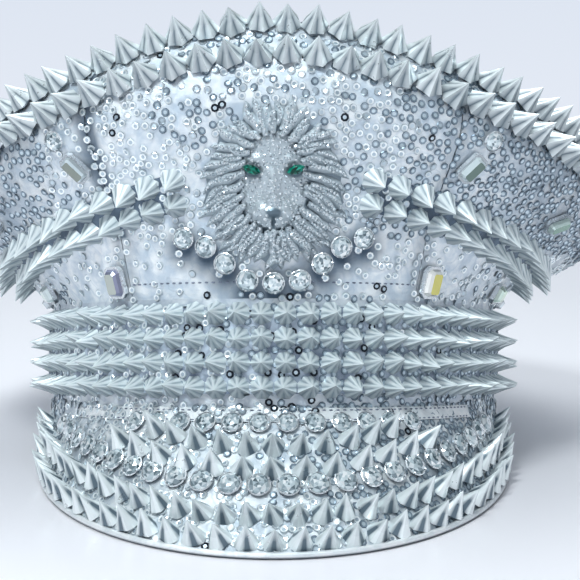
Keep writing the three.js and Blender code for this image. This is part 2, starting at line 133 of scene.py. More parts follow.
def rounded_mesh(shape, name, levels, sharp=SEWN_EDGE_ANGLE):
    """The shape rounded by subdivision, with its sharp edges kept."""
    bmesh.ops.join_triangles(
        shape, faces=shape.faces, angle_face_threshold=sharp, angle_shape_threshold=QUAD_SKEW
    )
    crease = shape.edges.layers.float.new("crease_edge")
    for edge in shape.edges:
        if edge.calc_face_angle(0) > sharp:
            edge[crease] = 1
    holder = placed(name, mesh_from(shape, name))
    rounding = holder.modifiers.new("rounding", "SUBSURF")
    rounding.levels = levels
    rounding.render_levels = levels
    return finished_mesh(holder)


def fill(tree, node, inputs):
    """Sets a node's inputs to the given values, or links them to the given outputs."""
    for name, value in inputs.items():
        if isinstance(value, bpy.types.NodeSocket):
            tree.links.new(value, node.inputs[name])
        else:
            node.inputs[name].default_value = value


def add_node(tree, kind, inputs=None, **settings):
    """A new shader node with its settings and its inputs."""
    node = tree.nodes.new("ShaderNode" + kind)
    for name, value in settings.items():
        setattr(node, name, value)
    fill(tree, node, inputs or {})
    return node


def maths(tree, operation, *inputs, **settings):
    """The output of a math node."""
    return add_node(tree, "Math", dict(enumerate(inputs)), operation=operation, **settings).outputs[0]


def ranged(tree, value, start, end, least=0.0, most=1.0):
    """A value that goes from least to most as the given one goes from start to end."""
    inputs = {"Value": value, "From Min": start, "From Max": end, "To Min": least, "To Max": most}
    return add_node(tree, "MapRange", inputs).outputs["Result"]


def mixed(tree, factor, first, second):
    """A colour that goes from the first to the second, set or linked, as the factor goes from 0 to 1."""
    ends = {"A": first, "B": second}
    colours = {name: (*end, 1) if isinstance(end, tuple) else end for name, end in ends.items()}
    return add_node(tree, "Mix", {"Factor": factor, **colours}, data_type="RGBA").outputs["Result"]


def attribute_value(tree, name, output="Fac"):
    """A value or a colour that the mesh itself carries."""
    return add_node(tree, "Attribute", attribute_name=name).outputs[output]


def new_group(name, inputs, outputs):
    """An empty node group with named sockets, and what goes into it and comes out."""
    group = bpy.data.node_groups.new(name, "ShaderNodeTree")
    for socket_name, value in inputs.items():
        socket = group.interface.new_socket(
            name=socket_name, in_out="INPUT", socket_type="NodeSocketFloat"
        )
        socket.default_value = value
    for socket_name in outputs:
        group.interface.new_socket(name=socket_name, in_out="OUTPUT", socket_type="NodeSocketFloat")
    return group, group.nodes.new("NodeGroupInput").outputs, group.nodes.new("NodeGroupOutput")


def woven_group():
    """Fine plain weave with uneven threads and small creases: a height for bump, and a mask of the shade with
    painted shade along the creases.
    """
    sizes = {"Threads per metre": 1600.0, "Unevenness": 0.6}
    group, given, made = new_group("Fine weave", sizes, ("Height", "Shade"))
    place = add_node(group, "TexCoord").outputs["Object"]
    wave = {"Vector": place, "Scale": given["Threads per metre"], "Distortion": 1.5, "Detail": 1}
    threads = [add_node(group, "TexWave", wave, bands_direction=way).outputs["Fac"] for way in ("X", "Z")]
    crossing = maths(group, "MAXIMUM", *threads)
    patches = add_node(group, "TexNoise", {"Vector": place, "Scale": 160, "Detail": 3}).outputs["Fac"]
    uneven = ranged(group, patches, 0.36, 0.62, 0.0, given["Unevenness"])
    creases = {"Vector": place, "Scale": 130, "Detail": 2, "Distortion": 0.8}
    fold_shades = add_node(group, "TexNoise", creases).outputs["Fac"]
    off_crease = maths(group, "ABSOLUTE", maths(group, "SUBTRACT", fold_shades, 0.5))
    smooth = ranged(group, off_crease, 0.0, 0.07, 0.6, 1.0)
    shade = maths(group, "MULTIPLY_ADD", crossing, 0.4, uneven)
    # painted shade: darker along the crease lines
    creased = maths(group, "MULTIPLY", shade, smooth, use_clamp=True)
    height = maths(group, "MULTIPLY_ADD", smooth, 4, crossing)
    fill(group, made, {"Height": height, "Shade": creased})
    return group


fine_weave = woven_group()


def new_material(name):
    """A new material, its node tree and its shader."""
    material = bpy.data.materials.new(name)
    material.use_nodes = True
    return material, material.node_tree, material.node_tree.nodes["Principled BSDF"]


def underside(tree, most):
    """A mask that is 0 on what faces up or level and rises to the given value on what faces down."""
    normal = add_node(tree, "NewGeometry").outputs["Normal"]
    height = add_node(tree, "SeparateXYZ", {"Vector": normal}).outputs["Z"]
    return ranged(tree, height, 0.05, -0.6, 0.0, most)


def silver_cloth(name, dark, light, sheen, under=0.0):
    """Woven cloth with silver threads, its shade uneven, with painted shade from its "seam" attribute and on
    what faces down.
    """
    material, tree, shader = new_material(name)
    weave = add_node(tree, "Group", node_tree=fine_weave).outputs
    threads = mixed(tree, weave["Shade"], dark, light)
    # painted shade from the "seam" attribute, then painted shade on what faces down
    seam_shaded = mixed(tree, attribute_value(tree, "seam"), threads, PAINTED_SHADE_COLOUR)
    shaded = mixed(tree, underside(tree, under), seam_shaded, PAINTED_UNDERSIDE_COLOUR)
    relief = {"Height": weave["Height"], "Strength": 0.35, "Distance": THREAD_RELIEF}
    normal = add_node(tree, "Bump", relief).outputs["Normal"]
    surface = {"Metallic": 0.35, "Roughness": 0.45, "Sheen Weight": sheen}
    fill(tree, shader, {"Base Color": shaded, "Normal": normal, **surface})
    return material


band_cloth = silver_cloth("band cloth", (0.42, 0.50, 0.60), (0.92, 0.96, 0.98), 0.2)
band_mesh = rounded_mesh(merged_node("head_band"), "head_band_cloth", ROUNDING_LEVELS)
band_cloth_piece = add_piece("head_band_cloth", band_mesh, band_cloth)
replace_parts(band_cloth_piece, "head_band")

# Crown: four panels of sequin cloth and a domed lid, sewn together over a hollow and puffed out.
# Each panel is pulled in at its seams, so that the cloth swells and wrinkles between them.
PANEL_LEVELS = 3
PANEL_PILLOW = 0.9 * MM
PANEL_WRINKLE = 0.7 * MM
WRINKLES_PER_METRE = 140
CROWN_INSIDE = 20 * MM
STAND_TOP = 20 * MM
SEAM_LAP = 0.7 * MM
SEAM_REACH = 12 * MM
UPRIGHT = 0.6  # least rise of an upright seam for its length
# Painted shade in the cloth's "seam" attribute: along the upright seams, under the drop stones and towards
# the far sides
SEAM_SHADOW = 4.5 * MM
DEEP_SEAM_SHADOW = 0.95
FAINT_SEAM_SHADOW = 0.35
STONE_SHADOW = 10 * MM
STONE_SHADOW_DROP = 3 * MM
SHADOW_FULLNESS = 1.6
SIDE_SHADE = {"from": 66 * MM, "reach": 26 * MM, "rise": 26 * MM, "depth": 0.42}
LID_TUCK = {"reach": 14 * MM, "down": 2.4 * MM, "in": 1.6 * MM}
LID_STEP = 3  # degrees


def points_tree(points):
    """A tree that finds the nearest of the points."""
    tree = kdtree.KDTree(len(points))
    for k, point in enumerate(points):
        tree.insert(point, k)
    tree.balance()
    return tree


def set_values(mesh, name, values, domain="POINT"):
    """Gives the mesh an attribute with a value for each of its points or faces."""
    mesh.attributes.new(name, "FLOAT", domain).data.foreach_set("value", values)


def pucker(mesh, shaded_places):
    """Cloth swells a little away from its seams and wrinkles beside them.

    Its "seam" attribute holds painted shade: high in the upright seams, behind the shaded places and far to
    the sides.
    """
    crease = mesh.attributes.get("crease_edge")
    seam_points = set()
    upright_points = set()
    for edge in mesh.edges:
        if crease.data[edge.index].value > 0.5:
            first, second = (mesh.vertices[i].co for i in edge.vertices)
            seam_points.update(edge.vertices)
            if abs((second - first).normalized().dot(hat_up)) > UPRIGHT:
                upright_points.update(edge.vertices)
    seams = points_tree([mesh.vertices[i].co for i in seam_points])
    uprights = points_tree([mesh.vertices[i].co for i in upright_points])
    stones = points_tree(shaded_places)
    inside = hat_frame @ Vector((0, 0, CROWN_INSIDE))
    moved = []
    shadows = []
    for vertex in mesh.vertices:
        place = to_hat @ vertex.co
        to_side = np.clip((abs(place.x) - SIDE_SHADE["from"]) / SIDE_SHADE["reach"], 0, 1)
        shadow = SIDE_SHADE["depth"] * to_side * np.clip(place.z / SIDE_SHADE["rise"], 0, 1)
        seam_depth = DEEP_SEAM_SHADOW if place.x < 0 and place.z > STAND_TOP else FAINT_SEAM_SHADOW
        for tree, reach, depth in ((uprights, SEAM_SHADOW, seam_depth), (stones, STONE_SHADOW, 1.0)):
            distance = tree.find(vertex.co)[2]
            if distance is not None:
                shadow = max(shadow, depth * min(1, SHADOW_FULLNESS * (1 - distance / reach)))
        shadows.append(shadow)
        out = vertex.normal
        if (vertex.co - inside).dot(out) > 0:
            away = min(seams.find(vertex.co)[2] / SEAM_REACH, 1)
            swell = PANEL_PILLOW * away * away * (3 - 2 * away)
            ripple = noise.noise(vertex.co * WRINKLES_PER_METRE) * PANEL_WRINKLE * away
            moved.append((vertex.index, vertex.co + out * (swell + ripple)))
    for index, place in moved:
        mesh.vertices[index].co = place
    set_values(mesh, "seam", shadows)
    mesh.update()


def hat_angle(point):
    """Degrees round the hat from its front, towards the wearer's left."""
    place = to_hat @ Vector(point)
    return math.degrees(math.atan2(place.x, -place.y))


def tuck_lid(mesh):
    """Draws the lid's edge down and in behind the studs on the rim, less and less towards its middle."""
    places = [to_hat @ vertex.co for vertex in mesh.vertices]
    steps = [round(hat_angle(vertex.co) / LID_STEP) for vertex in mesh.vertices]
    rim = {}
    for step, place in zip(steps, places):
        rim[step] = max(rim.get(step, 0), place.xy.length)
    for vertex, step, place in zip(mesh.vertices, steps, places):
        near = max(0, 1 - (rim[step] - place.xy.length) / LID_TUCK["reach"]) ** 2
        inward = Vector((-place.x, -place.y, 0)).normalized() * LID_TUCK["in"]
        vertex.co += (hat_axes @ inward - hat_up * LID_TUCK["down"]) * near
    mesh.update()


def lap_seam(mesh):
    """Lets a panel's bottom edge down on to the band, so that no gap shows at their seam."""
    for vertex in mesh.vertices:
        if (to_hat @ vertex.co).z < SEAM_LAP:
            vertex.co -= hat_up * SEAM_LAP
    mesh.update()


crown_cloth = silver_cloth("crown cloth", (0.46, 0.57, 0.68), (0.98, 1.0, 1.0), 0.3)
drop_nodes = sorted(node for node in frame["nodes"] if node.startswith("drop_stone"))
drop_middles = [sum(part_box(node), Vector()) / 2 - hat_up * STONE_SHADOW_DROP for node in drop_nodes]
crown_meshes = {}
for node in ("crown_front", "crown_left", "crown_back", "crown_right", "crown_top"):
    crown_meshes[node] = rounded_mesh(merged_node(node), node + "_cloth", PANEL_LEVELS)
    pucker(crown_meshes[node], drop_middles)
    if node == "crown_top":
        tuck_lid(crown_meshes[node])
    else:
        lap_seam(crown_meshes[node])
    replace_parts(add_piece(node + "_cloth", crown_meshes[node], crown_cloth), node)

# Visor: a stiff curved peak covered with the same cloth, sewn under the front of the band.
# Its free edge is bound with a narrow roll of silver-white cloth that lies on the table.
VISOR_TOP = -36 * MM
BINDING_RADIUS = 1.1 * MM
BINDING_SEGMENTS = 3
EDGE_REACH = 74  # degrees to each side of the front
EDGE_FACING = 0.5
ENDS_MARGIN = 1.2 * MM
OUTSIDE = 0.4  # metres from the hat's axis, clear of all its pieces
ROW_POINTS = 181

visor_cloth = silver_cloth("visor cloth", (0.36, 0.45, 0.54), (0.98, 1.0, 1.0), 0.2)
visor_mesh = rounded_mesh(merged_node("visor"), "visor_cloth", ROUNDING_LEVELS)
for vertex in visor_mesh.vertices:
    if (to_hat @ vertex.co).z > VISOR_TOP:
        vertex.co += hat_up * SEAM_LAP
visor_mesh.update()
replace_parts(add_piece("visor_cloth", visor_mesh, visor_cloth), "visor")


def shape_of(mesh):
    """A mesh opened for reading as a shape."""
    shape = bmesh.new()
    shape.from_mesh(mesh)
    return shape


def tree_of(mesh):
    """A tree that finds where lines meet the mesh."""
    shape = shape_of(mesh)
    tree = BVHTree.FromBMesh(shape)
    shape.free()
    return tree


visor_tree = tree_of(visor_mesh)
crown_trees = {node: tree_of(mesh) for node, mesh in crown_meshes.items()}


def outer_point(tree, angle, height):
    """Point and normal where a line square to the hat's axis, at a height in its frame, meets a piece."""
    turn = math.radians(angle)
    outward = Vector((math.sin(turn), -math.cos(turn), 0))
    start = hat_frame @ (outward * OUTSIDE + Vector((0, 0, height)))
    return tree.ray_cast(start, hat_axes @ -outward)[:2]


def visor_edge():
    """The visor's outer free edge, from one end of the band to the other."""
    shape = shape_of(visor_mesh)
    shape.normal_update()
    middle = Vector((hat_middle.x, hat_middle.y, 0))
    outer = set()
    for face in shape.faces:
        away = (face.calc_center_median() - middle) * Vector((1, 1, 0))
        if face.normal.dot(away.normalized()) > EDGE_FACING:
            outer.add(face)
    top = max((to_hat @ vertex.co).z for vertex in shape.verts) - ENDS_MARGIN
    neighbours = {}
    for edge in shape.edges:
        is_border = len(edge.link_faces) == 2 and len(outer.intersection(edge.link_faces)) == 1
        if is_border and all((to_hat @ vertex.co).z < top for vertex in edge.verts):
            first, second = edge.verts
            neighbours.setdefault(first, []).append(second)
            neighbours.setdefault(second, []).append(first)
    ends = [vertex for vertex, others in neighbours.items() if len(others) == 1]
    walk = [min(ends, key=lambda vertex: vertex.co.x)]
    while following := [vertex for vertex in neighbours[walk[-1]] if vertex not in walk[-2:]]:
        walk.append(following[0])
    line = [Vector(vertex.co) for vertex in walk]
    shape.free()
    return line


edge_line = visor_edge()
edge_middle = [point for point in edge_line if abs(hat_angle(point)) < EDGE_REACH]
edge_angles = [hat_angle(point) for point in edge_middle]


def visor_row(inset, reach):
    """Points and normals along the visor, an even distance in from its edge."""
    first_rise = 0.7
    corrections = 5
    row = []
    for angle in np.linspace(-reach, reach, ROW_POINTS):
        edge = Vector([np.interp(angle, edge_angles, axis) for axis in np.array(edge_middle).T])
        foot = (to_hat @ edge).z
        rise = inset * first_rise
        for _ in range(corrections):
            point, normal = outer_point(visor_tree, angle, foot + rise)
            if point is None:
                break
            rise *= inset / (point - edge).length
        if point is not None:
            row.append((point, normal))
    return row


def level_row(tree, height, reach, count=ROW_POINTS):
    """Points and normals along the front of a piece at an even height in the hat's frame."""
    row = [outer_point(tree, angle, height) for angle in np.linspace(-reach, reach, count)]
    return [(point, normal) for point, normal in row if point is not None]


def units(vectors):
    """The vectors, each made one long."""
    return vectors / np.linalg.norm(vectors, axis=1)[:, None]


def lengths_along(points):
    """How far along a line each of its points lies."""
    steps = np.linalg.norm(np.diff(points, axis=0), axis=1)
    return np.concatenate([[0], np.cumsum(steps)])


def at_lengths(wanted, lengths, vectors):
    """The vectors at the wanted lengths, worked out between those that are given."""
    return np.column_stack([np.interp(wanted, lengths, axis) for axis in vectors.T])


def even_places(row, pitch):
    """Points and normals picked from a row at an even pitch, centred on it."""
    points = np.array([point for point, _ in row])
    normals = np.array([normal for _, normal in row])
    lengths = lengths_along(points)
    count = int(lengths[-1] / pitch)
    wanted = lengths[-1] / 2 + (np.arange(count) - (count - 1) / 2) * pitch
    return at_lengths(wanted, lengths, points), units(at_lengths(wanted, lengths, normals))


def tube_mesh(name, points, radius, segments):
    """A round cord through the points, as a mesh."""
    line = bpy.data.curves.new(name, "CURVE")
    line.dimensions = "3D"
    line.bevel_depth = radius
    line.bevel_resolution = segments
    line.use_fill_caps = True
    spline = line.splines.new("POLY")
    spline.points.add(len(points) - 1)
    for spot, point in zip(spline.points, points):
        spot.co = (*point, 1)
    mesh = finished_mesh(placed(name, line))
    for face in mesh.polygons:
        face.use_smooth = True
    return mesh


# The binding is darkened fully on what faces down: a painted contact shadow where it lies on the table.
binding_material = silver_cloth("edge binding", (0.72, 0.78, 0.81), (1.0, 1.0, 1.0), 0.1, 1.0)
binding_line = [point + Vector((0, 0, BINDING_RADIUS)) for point in edge_line]
binding_mesh = tube_mesh("visor_edge_binding", binding_line, BINDING_RADIUS, BINDING_SEGMENTS)
add_piece("visor_edge_binding", binding_mesh, binding_material)

# Spike tapes: dark blue-grey strips of cloth on the band and the crown, with studs sewn on row by row.
# Each is the tape's solid with its cones taken off and its edges drawn in, and shows between the studs.
TIP_HEIGHT = 6 * MM
TIP_REACH = 12 * MM
TAPE_REACH = 7 * MM
TAPE_NARROWED = 0.45


def cone_foot(tip):
    """The corners of the foot of a cone, and their middle."""
    corners = [edge.other_vert(tip).co for edge in tip.link_edges]
    return corners, sum(corners, Vector()) / len(corners)


def is_tip(vertex):
    """Whether a corner of a tape's solid is the tip of one of its cones."""
    _, foot = cone_foot(vertex)
    stands = (vertex.co - foot).dot(vertex.normal) > TIP_HEIGHT
    return stands and all(edge.calc_length() < TIP_REACH for edge in vertex.link_edges)


def bare_tape(node):
    """A tape's solid without its cones, its edges drawn in towards the feet of the cones."""
    shape = merged_node(node)
    shape.normal_update()
    tips = [vertex for vertex in shape.verts if is_tip(vertex)]
    tree = points_tree([cone_foot(tip)[1] for tip in tips])
    bmesh.ops.dissolve_verts(shape, verts=tips)
    for vertex in shape.verts:
        near = [place for place, _, _ in tree.find_range(vertex.co, TAPE_REACH)]
        if near:
            middle = sum(near, Vector()) / len(near)
            vertex.co += (middle - vertex.co) * TAPE_NARROWED
    return shape


# The tapes' dark blue is partly their own colour and partly painted shade in the gaps between the studs.
band_tape_cloth = silver_cloth("band tape cloth", (0.05, 0.08, 0.15), (0.66, 0.75, 0.84), 0.1)
swag_tape_cloth = silver_cloth("swag tape cloth", (0.03, 0.05, 0.08), (0.15, 0.21, 0.28), 0.1)
tape_meshes = {}
for node in ("band_spikes", "swag_spikes_left", "swag_spikes_right"):
    tape_meshes[node] = mesh_from(bare_tape(node), node + "_tape")
    tape_cloth = band_tape_cloth if node == "band_spikes" else swag_tape_cloth
    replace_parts(add_piece(node + "_tape", tape_meshes[node], tape_cloth), node)

# Spikes: hollow studs of plated plastic, pleated like paper cones and sewn to the tapes or the cloth.
# Their places, lengths and widths are read from the tapes' solids, one stud on each of their cones.
STUD_KINDS = {  # pleats and their depth, width and length against the cone's, mm sunk in, lean upwards
    "rim": {"pleats": 6, "valley": 0.18, "spread": 1.08, "reach": 1.0, "sink": 1.2, "lean": 0},
    "tape": {"pleats": 8, "valley": 0.1, "spread": 1.0, "reach": 1.0, "sink": 1.0, "lean": 0},
    "visor": {"pleats": 7, "valley": 0.16, "spread": 0.92, "reach": 0.86, "sink": 2.2, "lean": 1.0},
}
STUDS = [
    {"node": "rim_spikes", "kind": "rim"},
    {"node": "band_spikes", "kind": "tape"},
    {"node": "swag_spikes_left", "kind": "tape"},
    {"node": "swag_spikes_right", "kind": "tape"},
    {"node": "visor_spikes_edge", "kind": "visor"},
    {"node": "visor_spikes_middle", "kind": "visor"},
    {"node": "visor_spikes_upper", "kind": "visor"},
]
SPIKE_PROFILE = [  # width and height of each ring, as parts of the foot's radius and the stud's length
    {"width": 0.86, "height": 0.0},
    {"width": 1.0, "height": 0.07},
    {"width": 0.50, "height": 0.50},
    {"width": 0.0, "height": 1.0},
]
STUD_WIDTHS = (0.96, 1.03)
STUD_LENGTHS = (0.97, 1.02)
# painted shade on the downward faces of studs, settings and brooch
PAINTED_PLATING_UNDERSIDE = (0.10, 0.14, 0.17)
SPIKE_TILT = math.radians(4)
RIM_EDGE_REACH = 9.5 * MM
RIM_RISE = 3.8 * MM
RIM_TURN = math.radians(4)


def spike_places(node):
    """Tip, foot and foot radius of each cone on a tape's solid."""
    shape = merged_node(node)
    shape.normal_update()
    places = []
    for vertex in shape.verts:
        if is_tip(vertex):
            corners, foot = cone_foot(vertex)
            radius = sum((corner - foot).length for corner in corners) / len(corners)
            places.append((Vector(vertex.co), foot, radius))
    shape.free()
    return [np.array(column) for column in zip(*places)]


def corners_among(grown):
    """The corners among what an operator has grown."""
    return [item for item in grown["geom"] if isinstance(item, bmesh.types.BMVert)]


def ringed_shape(sides, profile, has_bottom):
    """A shape grown ring by ring from a circle, each ring with its own width and height."""
    shape = bmesh.new()
    width, height = profile[0]["width"], profile[0]["height"]
    bmesh.ops.create_circle(shape, cap_ends=has_bottom, segments=sides, radius=width)
    bmesh.ops.translate(shape, verts=shape.verts, vec=(0, 0, height))
    ring = shape.edges[:]
    for row in profile[1:]:
        grown = bmesh.ops.extrude_edge_only(shape, edges=ring)
        corners = corners_among(grown)
        ring = [item for item in grown["geom"] if isinstance(item, bmesh.types.BMEdge)]
        scale = row["width"] / width
        bmesh.ops.scale(shape, verts=corners, vec=(scale, scale, 1))
        bmesh.ops.translate(shape, verts=corners, vec=(0, 0, row["height"] - height))
        width, height = row["width"], row["height"]
    bmesh.ops.remove_doubles(shape, verts=shape.verts, dist=1e-4)
    bmesh.ops.recalc_face_normals(shape, faces=shape.faces)
    return shape


def pleated_spike(pleats, valley):
    """One stud, a unit long on a foot of unit radius, with ridges and valleys from foot to tip."""
    shape = ringed_shape(2 * pleats, SPIKE_PROFILE, True)
    # marks each valley for the painted shade down the pleats
    fold_shade = shape.verts.layers.float.new("fold_shade")
    for vertex in shape.verts:
        turn = math.atan2(vertex.co.y, vertex.co.x) / math.pi * pleats
        is_valley = round(turn) % 2 == 1 and vertex.co.xy.length > 1e-3
        if is_valley:
            vertex.co.xy *= 1 - valley
        vertex[fold_shade] = 1 if is_valley else 0
    return shape


def faces_in_order(shape, faces):
    """The faces sorted by the numbers of their corners, an order that is the same each time."""
    shape.verts.index_update()
    return sorted(faces, key=lambda face: sorted(vertex.index for vertex in face.verts))


def corner_numbers(face):
    """The numbers of a face's corners in turn, from the smallest."""
    numbers = [vertex.index for vertex in face.verts]
    first = numbers.index(min(numbers))
    return numbers[first:] + numbers[:first]


def copies_mesh(name, shape, points):
    """One mesh that holds copies of the shape, with the corners of each copy where the points say.

    The shape's own layers, the painted fold shade on its corners and "part" on its faces, go along. The shape
    is used up.
    """
    count = len(shape.verts)
    ordered = faces_in_order(shape, shape.faces)
    faces = [corner_numbers(face) for face in ordered]
    fold_shade = shape.verts.layers.float.get("fold_shade")
    fold_shades = np.array([vertex[fold_shade] if fold_shade else 0 for vertex in shape.verts])
    part = shape.faces.layers.float.get("part")
    parts = np.array([face[part] if part else 0 for face in ordered])
    shape.free()
    mesh = bpy.data.meshes.new(name)
    all_faces = [[i + k * count for i in face] for k in range(len(points)) for face in faces]
    mesh.from_pydata(points.reshape(-1, 3), [], all_faces)
    set_values(mesh, "fold_shade", np.tile(fold_shades, len(points)))
    if parts.any():
        set_values(mesh, "part", np.tile(parts, len(points)), "FACE")
    mesh.update()
    return mesh


def joined_copies(name, shape, places, copy_values=None, facet_random=None):
    """One mesh that holds a copy of the shape at each place, a stack of 3 by 4 matrices.

    copy_values gives an attribute's value for each copy, and with facet_random each facet gets
    its own "glint".
    """
    corners = np.array([vertex.co for vertex in shape.verts])
    points = np.einsum("nij,mj->nmi", places[:, :, :3], corners) + places[:, None, :, 3]
    mesh = copies_mesh(name, shape, points)
    for attribute, values in (copy_values or {}).items():
        set_values(mesh, attribute, np.repeat(np.asarray(values, float), len(corners)))
    if facet_random:
        set_values(mesh, "glint", facet_random.random(len(mesh.polygons)), "FACE")
    return mesh


def standing_places(points, outs, widths, heights, random, tilt):
    """Matrices that stand a unit shape on each point along its out direction, turned at random."""
    outs = units(outs + random.normal(0, math.tan(tilt), outs.shape) if tilt else outs)
    helper = np.where(np.abs(outs[:, 2:]) < 0.9, [[0.0, 0.0, 1.0]], [[1.0, 0.0, 0.0]])
    across = units(np.cross(helper, outs))
    along = np.cross(outs, across)
    spin = random.uniform(0, 2 * math.pi, len(points))[:, None]
    turned = across * np.cos(spin) + along * np.sin(spin)
    other = np.cross(outs, turned)
    columns = [turned * widths[:, None], other * widths[:, None], outs * heights[:, None], points]
    return np.stack(columns, axis=2)


def marks_group():
    """Faint marks from handling: a roughness that changes between two limits."""
    limits = {"Scale": 180.0, "Least": 0.06, "Most": 0.2}
    group, given, made = new_group("Handling marks", limits, ("Roughness",))
    place = add_node(group, "TexCoord").outputs["Object"]
    smears = {"Vector": place, "Scale": given["Scale"], "Detail": 4, "Roughness": 0.6}
    smeared = add_node(group, "TexNoise", smears).outputs["Fac"]
    fill(group, made, {"Roughness": ranged(group, smeared, 0.3, 0.7, given["Least"], given["Most"])})
    return group


handling_marks = marks_group()


def plated_silver(name, bright, folded, least_rough=0.2, most_rough=0.34, metallic=0.7, under=0.85):
    """Bright plating, with painted shade along a narrow line down in each pleat and on what faces down."""
    material, tree, shader = new_material(name)
    # painted shade: a narrow dark line down each pleat, then darker on what faces down
    groove = maths(tree, "POWER", attribute_value(tree, "fold_shade"), 2.2)
    plating = mixed(tree, groove, bright, folded)
    colour = mixed(tree, underside(tree, under), plating, PAINTED_PLATING_UNDERSIDE)
    marks = add_node(tree, "Group", node_tree=handling_marks)
    fill(tree, marks, {"Scale": 240, "Least": least_rough, "Most": most_rough})
    surface = {"Metallic": metallic, "Roughness": marks.outputs["Roughness"]}
    fill(tree, shader, {"Base Color": colour, **surface})
    return material


def on_rim_edge(feet, outs):
    """Moves the rim's upper row up to the crown's very edge and turns it up a little."""
    for k, (foot, out) in enumerate(zip(feet, outs)):
        if crown_trees["crown_top"].find_nearest(Vector(foot))[3] < RIM_EDGE_REACH:
            rise = np.array(hat_up) - out * np.dot(out, hat_up)
            rise /= np.linalg.norm(rise)
            feet[k] = foot + rise * RIM_RISE
            outs[k] = out * math.cos(RIM_TURN) + rise * math.sin(RIM_TURN)


bright_silver = plated_silver("bright silver", (0.95, 1.0, 1.0), (0.14, 0.19, 0.23), 0.26, 0.4, 0.5, 0.7)
satin_silver = plated_silver("satin silver", (0.94, 1.0, 1.0), (0.34, 0.42, 0.47), 0.36, 0.5, 0.35, 0.6)
stud_finishes = {"rim": bright_silver, "tape": satin_silver, "visor": bright_silver}
spike_random = np.random.default_rng(11)
spike_feet = []
for row in STUDS:
    kind = STUD_KINDS[row["kind"]]
    tips, feet, radii = spike_places(row["node"])
    lengths = np.linalg.norm(tips - feet, axis=1)
    outs = (tips - feet) / lengths[:, None]
    if row["kind"] == "rim":
        on_rim_edge(feet, outs)
    spike_feet.extend(feet)
    outs = units(outs + np.array(hat_up) * np.abs(outs[:, :1]) * kind["lean"])
    widths = radii * kind["spread"] * spike_random.uniform(*STUD_WIDTHS, len(feet))
    heights = lengths * kind["reach"] + kind["sink"] * MM
    heights = heights * spike_random.uniform(*STUD_LENGTHS, len(feet))
    roots = feet - outs * kind["sink"] * MM
    stands = standing_places(roots, outs, widths, heights, spike_random, SPIKE_TILT)
    studs = joined_copies(row["node"] + "_studs", pleated_spike(kind["pleats"], kind["valley"]), stands)
    stud_piece = add_piece(row["node"] + "_studs", studs, stud_finishes[row["kind"]])
    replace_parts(stud_piece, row["node"])

# Drop stones: nine round cut stones with foil backs that hang in an arc under the brooch.
# Each is held by four prongs in a silver cup, and both are made once and set at each CAD stone.
CUT_RINGS = [  # number, width and height of the corners of a round cut, as parts of its radius
    {"corners": 16, "width": 0.96, "height": -0.10, "turn": 0.0},
    {"corners": 16, "width": 1.0, "height": 0.06, "turn": 0.0},
    {"corners": 8, "width": 0.82, "height": 0.30, "turn": 0.5},
    {"corners": 8, "width": 0.54, "height": 0.44, "turn": 0.0},
]
CUP_PROFILE = [
    {"width": 0.62, "height": -0.34},
    {"width": 0.98, "height": -0.24},
    {"width": 1.10, "height": 0.04},
    {"width": 1.0, "height": 0.10},
]
CUP_SIDES = 16
PRONGS = 4
PRONG_RADIUS = 0.14
PRONG_HEIGHT = 0.12
TABLE_INSET = 0.24
TABLE_RISE = 0.02
SAME_PLANE = math.radians(1)


def whole_facets(shape):
    """Joins triangles that lie in one plane into whole facets."""
    bmesh.ops.dissolve_limit(shape, angle_limit=SAME_PLANE, verts=shape.verts[:], edges=shape.edges[:])
    shape.normal_update()


def round_cut():
    """A round cut stone of unit radius: a flat table, star and kite facets, and a girdle."""
    shape = bmesh.new()
    for ring in CUT_RINGS:
        turn = Matrix.Rotation(2 * math.pi * ring["turn"] / ring["corners"], 4, "Z")
        place = Matrix.Translation((0, 0, ring["height"])) @ turn
        bmesh.ops.create_circle(shape, segments=ring["corners"], radius=ring["width"], matrix=place)
    bmesh.ops.delete(shape, geom=shape.edges[:], context="EDGES_FACES")
    bmesh.ops.convex_hull(shape, input=shape.verts[:])
    whole_facets(shape)
    table = max(shape.faces, key=lambda face: face.calc_center_median().z)
    bmesh.ops.inset_region(shape, faces=[table], thickness=TABLE_INSET, depth=TABLE_RISE)
    bmesh.ops.poke(shape, faces=[table])
    return shape


def pronged_cup():
    """The silver cup round a stone of unit radius, with round prongs on its lip."""
    shape = ringed_shape(CUP_SIDES, CUP_PROFILE, True)
    for k in range(PRONGS):
        turn = (k + 0.5) * 2 * math.pi / PRONGS
        place = Matrix.Translation((math.cos(turn), math.sin(turn), PRONG_HEIGHT))
        bmesh.ops.create_icosphere(shape, subdivisions=1, radius=PRONG_RADIUS, matrix=place)
    return shape


def stone_seat(node):
    """How a CAD stone sits: the middle of its back, its axes across, along and out, and its half sizes."""
    shape = merged_node(node)
    whole_facets(shape)
    back = max(shape.faces, key=lambda face: face.calc_area())
    out = -back.normal
    longest = max(back.edges, key=lambda edge: edge.calc_length())
    along = (longest.verts[1].co - longest.verts[0].co).normalized()
    across = along.cross(out)
    middle = back.calc_center_median()
    offsets = [vertex.co - middle for vertex in shape.verts]
    half_sizes = [max(abs(offset.dot(axis)) for offset in offsets) for axis in (across, along, out)]
    seat = {"middle": Vector(middle), "axes": (across, along, Vector(out)), "half_sizes": half_sizes}
    shape.free()
    return seat


def ramped(tree, factor, stops):
    """A colour that goes from stop to stop as the factor rises."""
    ramp = add_node(tree, "ValToRGB", {"Fac": factor})
    elements = ramp.color_ramp.elements
    while len(elements) < len(stops):
        elements.new(0.5)
    for element, stop in zip(elements, stops):
        element.position = stop["at"]
        element.color = (*stop["colour"], 1)
    return ramp.outputs["Color"]


